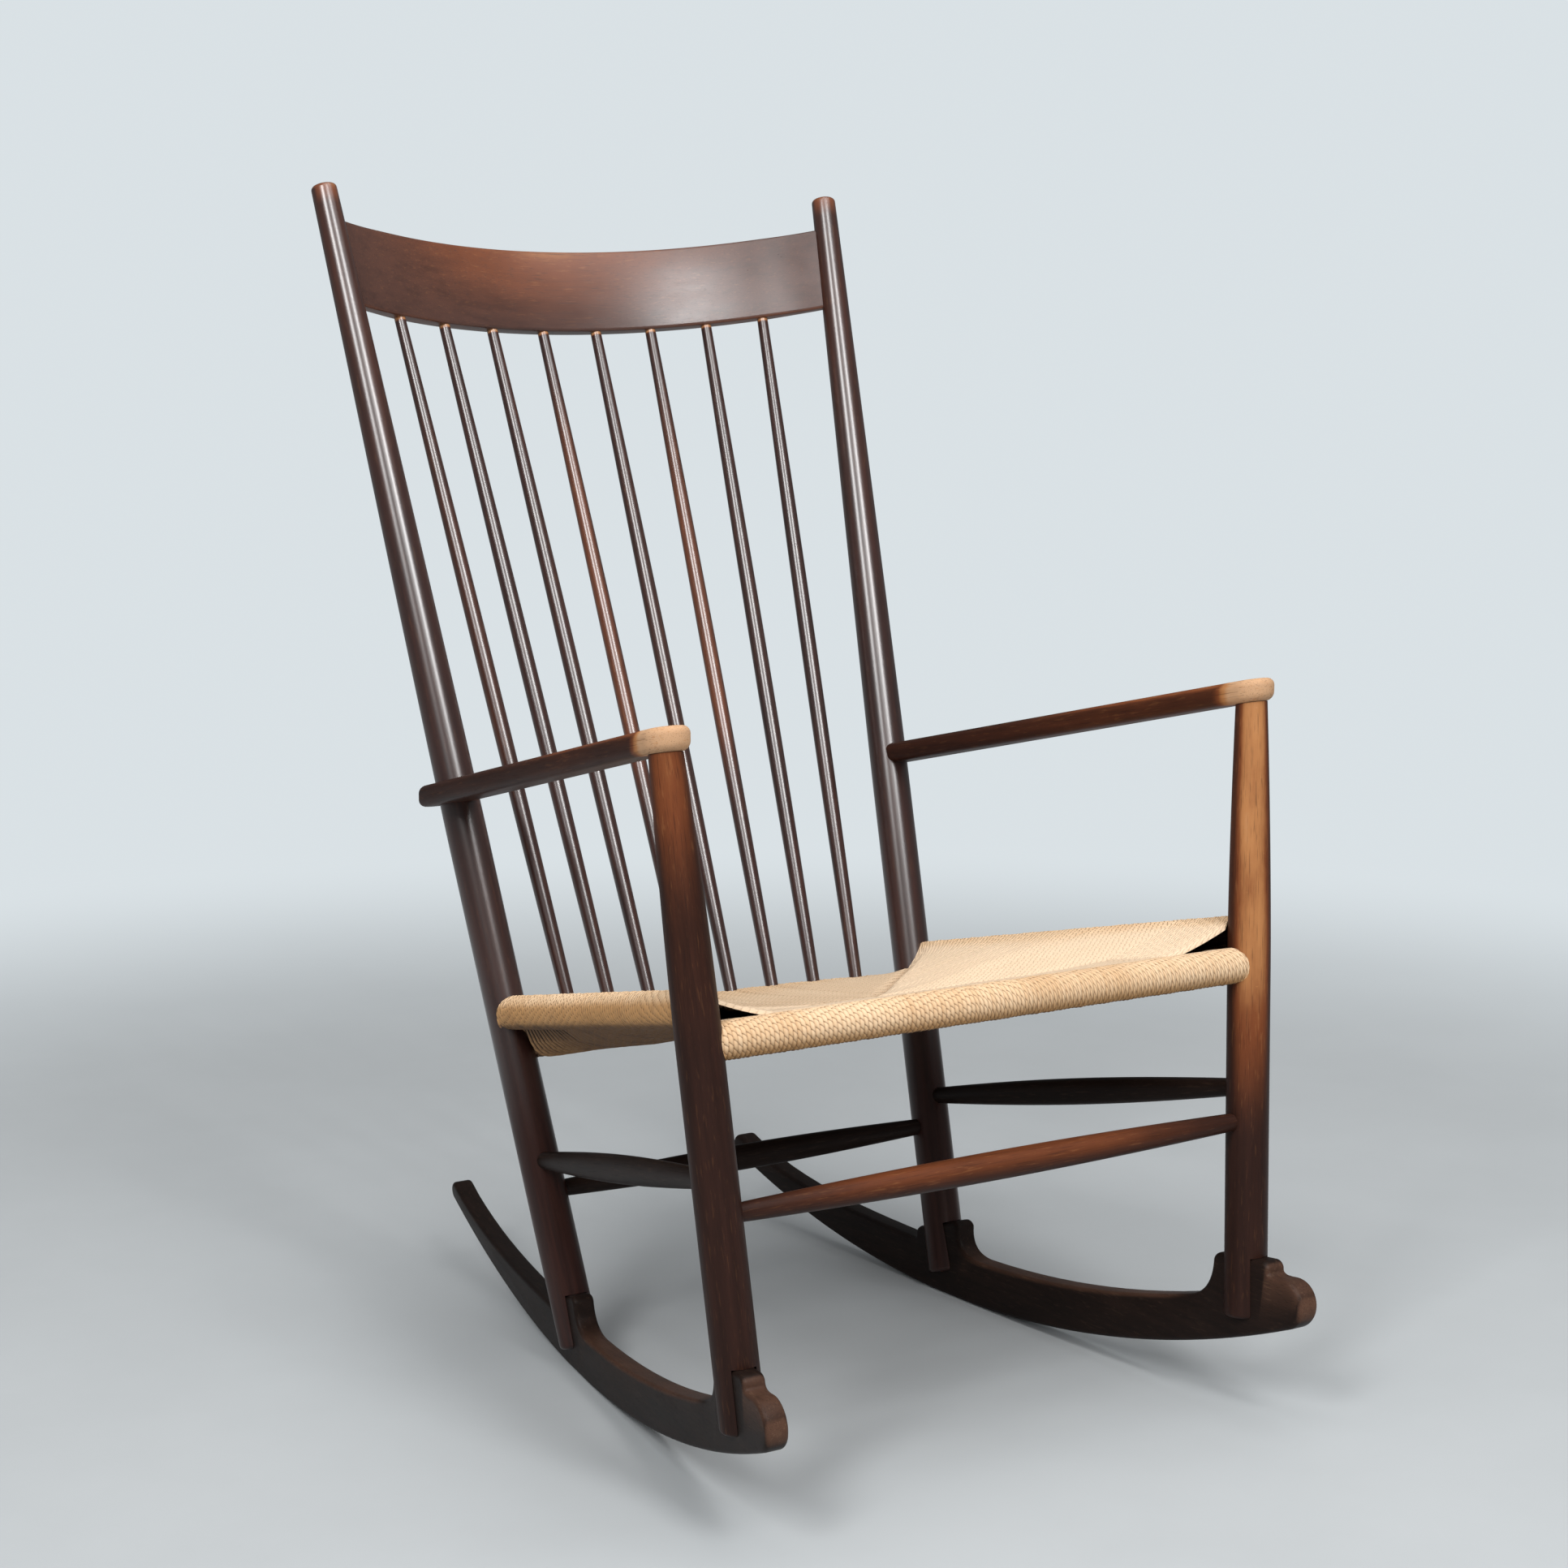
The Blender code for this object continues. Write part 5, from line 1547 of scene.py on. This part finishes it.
@dataclass
class WovenSeat:
    """The cord seat: four panels of cords wound over the rails and meeting in diagonal seams."""

    layout: Layout
    pitch: float = 0.0041
    cord_depth: float = 0.0011
    unevenness: Point = (-0.00028, 0.00022)
    columns: int = 4
    run_rows: int = 14
    wrap_rows: int = 10
    roll: float = 0.0160
    end_round: float = 0.012
    end_roll: float = 0.80
    end_rooms: Tuple[float, float, float] = (0.0100, 0.0120, 0.0100)
    rear_across: float = 0.2
    rear_share: float = 0.8
    front_height: float = 0.3900
    side_heights: Point = (0.4172, 0.3122)
    back_height: float = 0.2855
    back_forward: float = 0.008
    back_bow: float = 0.029
    dip: float = 0.012
    dip_power: float = 1.5
    waves: Tuple[Tuple[float, float, float], ...] = ((0.06, 31.0, 17.0), (0.05, -41.0, 23.0))
    under_rise: float = 0.010
    slope_share: float = 0.42
    slope_reach: float = 0.20
    corner_reach: Point = (0.086, 0.022)
    gap_reach: float = 0.145
    gap_every: int = 2
    slit_depth: float = 0.007
    slit_rise: float = 0.0042
    slit_start: float = 1.2
    slit_shade: float = -8.0
    under_shade: float = -1.5
    fan_shade: float = -1.55
    fan_lean: float = 0.010
    post_room: Point = (0.038, 0.045)
    spindle_pitch: float = 0.0446
    spindles: int = 8
    foot_crease: float = 0.0035
    crease: float = 0.0032
    crease_width: float = 0.0055
    dive: float = 0.0045
    tuck: float = 0.001
    least_run: float = 0.004
    # painted shade on the back panel's top: its painted light is cut to this share and groove shade is added
    back_light_share: float = 0.6
    back_shade: float = 0.25
    seed: int = 11

    def front_depth(self) -> float:
        """Give the depth of the front rail's axis."""
        return self.layout.leg_axis(Side.RIGHT, self.front_height).y

    def back_depth(self, across: float) -> float:
        """Give the depth of the bowed back rail's axis.

        Args:
            across: Distance from the middle, across the seat.

        Returns:
            The depth.
        """
        end = self.layout.post_axis(Side.RIGHT, self.back_height)
        share = min(abs(across) / end.x, 1.0)
        return end.y - self.back_forward + self.back_bow * (1.0 - share ** 2)

    def side_axis(self, depth: float) -> Tuple[float, float]:
        """Give a side rail's spread and height at a depth.

        Args:
            depth: Depth of the place.

        Returns:
            The spread and the height.
        """
        front = self.layout.leg_axis(Side.RIGHT, self.side_heights[0])
        back = self.layout.post_axis(Side.RIGHT, self.side_heights[1])
        share = (depth - front.y) / (back.y - front.y)
        return mix(front.x, back.x, share), mix(front.z, back.z, share)

    def narrowing(self) -> float:
        """Give how fast the seat narrows towards the back."""
        front, back = self.front_depth(), self.back_depth(self.rear_across)
        return (self.side_axis(front)[0] - self.side_axis(back)[0]) / (back - front)

    def base(self, across: float, depth: float) -> Tuple[float, float]:
        """Give the height of the plane between front and back rail, and the share of the way back.

        Args:
            across: Distance from the middle, across the seat.
            depth: Depth of the place.

        Returns:
            The height, and the share of the way back from 0 to 1.
        """
        front, back = self.front_depth(), self.back_depth(across)
        share = min(max((depth - front) / (back - front), 0.0), 1.0)
        return mix(self.front_height, self.back_height, share), share

    def hollow(self, across: float, depth: float) -> float:
        """Give the share of the seat's full dip at a place.

        Args:
            across: Distance from the middle, across the seat.
            depth: Depth of the place.

        Returns:
            The share, about 1 in the middle.
        """
        along = math.sin(math.pi * self.base(across, depth)[1])
        wide = min(abs(across) / self.side_axis(depth)[0], 1.0)
        wave = sum(size * math.sin(aside * across + back * depth) for size, aside, back in self.waves)
        return along * (1.0 - wide ** 2) ** self.dip_power + wave * along

    def seam_rise(self, away: float) -> float:
        """Give the share of the side roll's height that is left at a seam, away from its corner."""
        return self.slope_share * max(1.0 - away / self.slope_reach, 0.0) ** 2

    def _run(self, rail: Rail, place: float) -> CordRun:
        """Give what one cord of a panel follows.

        Args:
            rail: The panel's rail.
            place: The cord's place along the rail.

        Returns:
            The cord's run.
        """
        narrow, front_depth = self.narrowing(), self.front_depth()
        wide = self.side_axis(front_depth)[0]
        rear = self.side_axis(self.back_depth(self.rear_across))[0]
        corner = self.back_depth(self.rear_share * rear)
        if not rail.beside():
            front = rail is Rail.FRONT
            depth = front_depth if front else self.back_depth(place)
            if front:
                seam = front_depth + (wide - abs(place)) / (1.0 + narrow)
            else:
                seam = (abs(place) + corner - wide - narrow * front_depth) / (1.0 - narrow)
            middle = (corner + front_depth) / 2.0
            seam = min(seam, middle) if front else max(min(seam, depth - self.least_run), middle)
            away = seam - front_depth if front else corner - seam
            axis = Vector((place, depth, self.front_height if front else self.back_height))
            bend = self.corner_reach[0 if front else 1]
            gain = self.lift(place, seam) * self.seam_rise(away) * smooth(0.8 * bend, bend, away)
            inward = Vector((0.0, 1.0 if front else -1.0, 0.0))
            return CordRun(axis, inward, abs(depth - seam), away, gain)
        sign = -1.0 if rail is Rail.LEFT else 1.0
        spread, height = self.side_axis(place)
        axis = Vector((sign * spread, place, height))
        away = min(place - front_depth, corner - place)
        bend = self.corner_reach[0 if place - front_depth < corner - place else 1]
        reach = min(max(away, bend), spread)
        seam_x = sign * (spread - reach)
        left = self.seam_rise(reach) * min(max(away, 0.0) / bend, 1.0) ** 1.6
        gain = self.lift(seam_x, place) * left - self.lift(axis.x, place)
        return CordRun(axis, Vector((-sign, 0.0, 0.0)), reach, away, gain)

    def lift(self, across: float, depth: float) -> float:
        """Give how far a side rail lies above the plane of the front and back rails."""
        return self.side_axis(depth)[1] - self.base(across, depth)[0]

    def _path(self, rail: Rail, place: float, end_gap: float) -> List[CordPoint]:
        """Give the points along one cord, from the upper seam round the rail to the lower.

        Args:
            rail: The panel's rail.
            place: The cord's place along the rail.
            end_gap: Distance to the nearer end of the roll.

        Returns:
            The cord's points.
        """
        axis, inward, reach, away, gain = self._run(rail, place)
        level, way_back = self.base(axis.x, axis.y)
        round_end = min(end_gap / self.end_round, 1.0)
        roll = self.roll * mix(self.end_roll, 1.0, math.sqrt(1.0 - (1.0 - round_end) ** 2))
        fan, lean, sink = 0.0, 0.0, 1.0
        drop = self.lift(axis.x, axis.y) if rail.beside() else 0.0
        steep = smooth(0.25, 0.60, way_back)
        if rail.beside() and way_back > 0.5:
            sink = smooth(*self.post_room, away)
            fan = smooth(self.gap_reach + 0.03, 0.06, away)
            lean = self.fan_lean * smooth(0.05, 0.09, away) * fan

        def brown_and_shade(height: float) -> float:
            """Give the painted shade and browning of the roll at a height on it, from -1 to 1.

            Args:
                height: The height, as a share of the roll's radius.

            Returns:
                The painted shade and browning, from 0 to 2.
            """
            # painted shade and browning: a side roll darkens from its top down and more under it; a front or
            # back roll only low down
            if rail.beside():
                return smooth(0.95, 0.10, height) + smooth(-0.35, -0.95, height)
            return 0.8 * smooth(0.20, -0.75, height) + 1.2 * smooth(-0.70, -1.0, height)

        def seam(share: float) -> float:
            """Give the nearness to the seam."""
            return math.exp(-(reach * (1.0 - share) / self.crease_width) ** 2)

        def surface(share: float, upper: bool) -> Vector:
            """Give a point of the upper or lower run.

            Args:
                share: Share of the way from the rail to the seam.
                upper: Whether it is the upper run.

            Returns:
                The point.
            """
            spot = axis + inward * (reach * share)
            if not upper:
                spot = axis + inward * (reach * share * sink) + REARWARD * (lean * share)
            tilt = self.base(spot.x, spot.y)[0] - level
            if upper:
                fall = gain * (1.0 - (1.0 - share) ** 1.4 if rail.beside() else share ** 1.6)
            else:
                fall = -sink * drop * mix(share ** 1.6, 1.0 - (1.0 - share) ** 5.0, steep)
            near_seam = self.crease * seam(share)
            hollow = self.hollow(spot.x, spot.y)
            thick = roll - near_seam - hollow * (self.dip if upper else self.under_rise)
            return Vector((spot.x, spot.y, axis.z + tilt + fall + (thick if upper else -thick)))

        shares = [1.0 - step ** 1.5 for step in steps(0.0, 1.0, self.run_rows)]
        # the upper run takes full painted light, fading out towards the roll, and painted groove shade near
        # the seam
        points = [CordPoint(surface(1.0, True) + inward * self.tuck - UP * self.dive, UP, 1.0, 1.0)]
        for share in shares[:-1]:
            points.append(CordPoint(surface(share, True), UP, smooth(0.0, 0.3, share), seam(share)))
        # round the roll the painted shade and browning grow from the top down to the underside
        for turn in steps(math.pi / 2.0, -math.pi / 2.0, self.wrap_rows):
            out = UP * math.sin(turn) - inward * math.cos(turn)
            points.append(CordPoint(axis + out * roll, out, -brown_and_shade(out.z), 0.0))
        # the lower run lies in painted shade; the fan of parted cords at the back is a little less dark
        deep = mix(-brown_and_shade(-1.0), self.fan_shade, fan)
        for share in reversed(shares[:-1]):
            points.append(CordPoint(surface(share, False), -UP, deep, seam(share)))
        points.append(CordPoint(surface(1.0, False) + inward * self.tuck + UP * self.dive, -UP, deep, 1.0))
        return points

    def _span(self, rail: Rail) -> Tuple[float, float]:
        """Give the first and last place of a panel's cords along its rail.

        Args:
            rail: The panel's rail.

        Returns:
            The two places.
        """
        lay = self.layout
        front_room, back_room, side_room = self.end_rooms
        if rail is Rail.FRONT:
            half = lay.leg_axis(Side.RIGHT, self.front_height).x - front_room
            return -half, half
        if rail is Rail.BACK:
            half = lay.post_axis(Side.RIGHT, self.back_height).x - back_room
            return half, -half
        front = lay.leg_axis(Side.RIGHT, self.side_heights[0]).y + side_room
        back = lay.post_axis(Side.RIGHT, self.side_heights[1]).y - side_room
        return (back, front) if rail is Rail.LEFT else (front, back)

    def _clear(self, point: Vector) -> Vector:
        """Push a point out of the legs and posts.

        Args:
            point: The point to check.

        Returns:
            The point, moved if it lay inside.
        """
        lay = self.layout
        for side in Side:
            for axis_point, radius in ((lay.leg_axis, lay.leg_radius), (lay.post_axis, lay.post_radius)):
                axis = axis_point(side, point.z)
                gap = Vector((point.x - axis.x, point.y - axis.y, 0.0))
                room = radius + lay.fit
                if 1e-6 < gap.length < room:
                    point = Vector((axis.x, axis.y, point.z)) + gap.normalized() * room
        return point

    def panel(self, rail: Rail) -> bmesh.types.BMesh:
        """Wind one panel: a sheet of rounded cords with their own UV map.

        Args:
            rail: The panel's rail.

        Returns:
            The panel in chair coordinates.
        """
        chance = random.Random(self.seed + len(rail.value))
        first, last = self._span(rail)
        cords = round(abs(last - first) / self.pitch)
        rows = 2 * self.run_rows + self.wrap_rows + 2
        across = cords * self.columns
        work = bmesh.new()
        bmesh.ops.create_grid(work, x_segments=across, y_segments=rows, size=1.0)
        paths: List[List[Tuple[Vector, float, float, float]]] = []
        lifts = [chance.uniform(*self.unevenness) for _ in range(cords + 1)]
        parted = set()
        if rail is Rail.BACK:
            half = self.spindles // 2
            feet = [self.spindle_pitch * (number + 0.5) for number in range(-half, half)]
            parted = {round((foot - first) / (last - first) * cords) * self.columns for foot in feet}
        aside = self.slit_depth if rail is Rail.LEFT else -self.slit_depth
        recess = Vector((aside, 0.0, self.slit_rise))
        span = round(self.gap_reach / self.pitch)
        for column in range(across + 1):
            place = mix(first, last, column / across)
            inside = (column % self.columns) / self.columns
            cord = column // self.columns
            bulge = self.cord_depth * (math.sqrt(1.0 - (2.0 * inside - 1.0) ** 2) - 1.0)
            bulge += lifts[cord] if inside else min(lifts[cord], lifts[max(cord - 1, 0)])
            number = cord if first > last else cords - 1 - cord
            slit = inside > 0.0 and rail.beside() and number < span and number % self.gap_every == 1
            length, line, before = 0.0, [], None
            end_gap = min(abs(place - first), abs(place - last))
            for point, out, sun, seam in self._path(rail, place, end_gap):
                length += (point - before).length if before is not None else 0.0
                before = point
                # the crease at each spindle foot is dented in and also painted with groove shade through the
                # seam value
                crease = 4.0 * max(sun, 0.0) * (1.0 - max(sun, 0.0)) if column in parted else 0.0
                point = self._clear(point + out * (bulge - self.foot_crease * crease))
                # in a slit the cord is pushed in and its colour set to the near-black painted shade
                below = point.z < self.side_axis(point.y)[1] - self.slit_start * self.roll
                if slit and below and sun < self.under_shade:
                    point, sun = self._clear(point + recess), self.slit_shade
                # the back panel's top gets less painted light and some painted groove shade
                if rail is Rail.BACK and sun > 0.0:
                    sun, seam = sun * self.back_light_share, max(seam, self.back_shade * sun)
                line.append((point, length, sun, max(seam, crease)))
            paths.append(line)
        mapping = work.loops.layers.uv.new("cord")
        for face in work.faces:
            for loop in face.loops:
                column = round((loop.vert.co.x + 1.0) / 2.0 * across)
                row = round((loop.vert.co.y + 1.0) / 2.0 * rows)
                loop[mapping].uv = (column / self.columns, paths[column][row][1])
        sunned, seamed = work.verts.layers.float.new("sun"), work.verts.layers.float.new("seam")
        for vertex in work.verts:
            column = round((vertex.co.x + 1.0) / 2.0 * across)
            row = round((vertex.co.y + 1.0) / 2.0 * rows)
            vertex.co, _, vertex[sunned], vertex[seamed] = paths[column][row]
        bmesh.ops.reverse_faces(work, faces=work.faces)
        return work

    def build(self, maker: Chairmaker) -> None:
        """Wind and dress the four panels."""
        for rail in Rail:
            maker.cord(rail.value + "_cord_panel", self.panel(rail))


@dataclass(frozen=True)
class Lamp:
    """A soft lamp that faces the chair, turned some degrees from its front, with its power in watts."""

    name: str
    azimuth: float
    distance: float
    height: float
    size: Point
    power: float


@dataclass
class Studio:
    """A plain pale floor, soft light with two tall strips, and the camera."""

    camera_place: Tuple[float, float, float] = (-1.290, -2.1771, 0.930)
    azimuth: float = math.radians(-30.813)
    look_down: float = math.radians(9.146)
    lens: float = 64.18
    sensor: float = 36.0
    floor_reach: float = 30.0
    floor_colour: Colour = (0.43, 0.45, 0.46)
    backdrop: Colour = (0.70, 0.755, 0.785)
    world_light: Colour = (0.95, 0.98, 1.0)
    world_strength: float = 0.50
    mirror_strength: float = 0.16
    fade: Point = (1.0, 2.5)
    aim_height: float = 0.6
    lamps: Tuple[Lamp, ...] = (
        Lamp("strip_left", -57.0, 2.9, 2.90, (0.80, 1.5), 68.0),
        Lamp("strip_front", 1.0, 2.75, 2.90, (0.75, 1.5), 60.0),
        Lamp("softbox", -14.0, 2.3, 2.30, (1.3, 0.6), 14.0),
        Lamp("ceiling", 20.0, 0.6, 3.0, (2.2, 2.2), 34.0),
    )

    def camera(self) -> None:
        """Set the camera at the photograph's viewing angle."""
        data = bpy.data.cameras.new("viewpoint")
        data.lens, data.sensor_width = self.lens, self.sensor
        holder = bpy.data.objects.new("viewpoint", data)
        bpy.context.scene.collection.objects.link(holder)
        level = math.cos(self.look_down)
        back = Vector((math.sin(self.azimuth) * level, -math.cos(self.azimuth) * level,
                       math.sin(self.look_down)))
        right = Vector((math.cos(self.azimuth), math.sin(self.azimuth), 0.0))
        turn = Matrix((right, back.cross(right), back)).transposed().to_4x4()
        holder.matrix_world = Matrix.Translation(self.camera_place) @ turn
        bpy.context.scene.camera = holder

    def floor(self) -> None:
        """Lay the floor, which fades into the backdrop far away."""
        work = bmesh.new()
        bmesh.ops.create_circle(work, cap_ends=True, radius=self.floor_reach, segments=96)
        mesh = bpy.data.meshes.new("studio_floor")
        work.to_mesh(mesh)
        work.free()
        holder = bpy.data.objects.new("studio_floor", mesh)
        bpy.context.scene.collection.objects.link(holder)
        tree = FinishTree(bpy.data.materials.new("pale_floor"))
        place = tree.node("ShaderNodeTexCoord", {}, {}, "Object")
        away = tree.node("ShaderNodeVectorMath", {"operation": "LENGTH"}, {0: place}, "Value")
        cloud = tree.noise(place, 3.0, 5.0, 0.6)
        darker = tuple(0.88 * part for part in self.floor_colour)
        tone = tree.blend(cloud.ramp(0.3, 0.7) * 0.35, self.floor_colour, darker)
        lit = tree.first("Principled BSDF", {"Base Color": tone, "Roughness": 0.65})
        glow = tree.node("ShaderNodeEmission", {}, {"Color": self.backdrop, "Strength": 1.0})
        seen = tree.node("ShaderNodeLightPath", {}, {}, "Is Camera Ray")
        ground = tree.node("ShaderNodeMixShader", {}, {0: away.ramp(*self.fade) * seen, 1: lit, 2: glow})
        tree.feed(tree.nodes["Material Output"].inputs["Surface"], ground)
        mesh.materials.append(tree.owner)

    def world(self) -> None:
        """Light the room softly and show a plain pale backdrop to the camera."""
        tree = FinishTree(bpy.data.worlds.new("studio"))
        surface = tree.first("Background", {"Color": self.world_light, "Strength": self.world_strength})
        others = {"Is Glossy Ray": (self.world_light, self.mirror_strength),
                  "Is Camera Ray": (self.backdrop, 1.0)}
        for ray, (colour, strength) in others.items():
            other = tree.node("ShaderNodeBackground", {}, {"Color": colour, "Strength": strength})
            chosen = tree.node("ShaderNodeLightPath", {}, {}, ray)
            surface = tree.node("ShaderNodeMixShader", {}, {0: chosen, 1: surface, 2: other})
        tree.feed(tree.nodes["World Output"].inputs["Surface"], surface)
        tree.owner.cycles.sampling_method = "NONE"
        bpy.context.scene.world = tree.owner

    def hang(self, lamp: Lamp) -> None:
        """Hang one soft lamp so that it faces the chair.

        Args:
            lamp: The lamp.
        """
        data = bpy.data.lights.new(lamp.name, "AREA")
        data.shape = "RECTANGLE"
        data.size, data.size_y = lamp.size
        data.energy = lamp.power
        holder = bpy.data.objects.new(lamp.name, data)
        bpy.context.scene.collection.objects.link(holder)
        turn = math.radians(lamp.azimuth)
        holder.location = (lamp.distance * math.sin(turn), -lamp.distance * math.cos(turn), lamp.height)
        aim = Vector((0.0, 0.0, min(lamp.height, self.aim_height))) - holder.location
        holder.rotation_euler = aim.to_track_quat("-Z", "Y").to_euler()
        holder.visible_camera = False

    def build(self) -> None:
        """Set up the floor, the light and the camera."""
        bpy.context.scene.view_settings.view_transform = "Standard"
        self.camera()
        self.floor()
        self.world()
        for lamp in self.lamps:
            self.hang(lamp)


def dress_solid(node: str, material: bpy.types.Material) -> None:
    """Give a solid that stays in view a finer finish.

    Args:
        node: The solid's name.
        material: Its finish.
    """
    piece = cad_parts[node]
    if piece.material_slots:
        piece.material_slots[0].material = material
    else:
        piece.data.materials.append(material)
    LOG.info("%s: kept, %s", node, material.name)


def main() -> None:
    """Build the chair's sub-assemblies in order, dress the hidden solids and set up the studio."""
    logging.basicConfig(level=logging.INFO, format="%(name)s: %(message)s")
    layout = Layout()
    finishes = Finishes()
    maker = Chairmaker(layout, finishes)
    runners = Runners(layout)
    runners.build(maker)
    LegsAndPosts(layout, runners).build(maker)
    Arms(layout).build(maker)
    BackRest(layout).build(maker)
    Stretchers(layout).build(maker)
    WovenSeat(layout).build(maker)
    for side in Side:
        hidden = {"_arm_dowel": "post_wood", "_seat_rail": "rocker_wood"}
        for ending, finish in hidden.items():
            dress_solid(side.word() + ending, finishes.wood(finish, GrainSource.OBJECT))
    for word in ("front_seat_rail", "back_seat_rail"):
        dress_solid(word, finishes.wood("rocker_wood", GrainSource.OBJECT))
    Studio().build()
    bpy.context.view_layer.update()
    LOG.info("%d pieces made", maker.count)


if __name__ == "__main__":
    main()
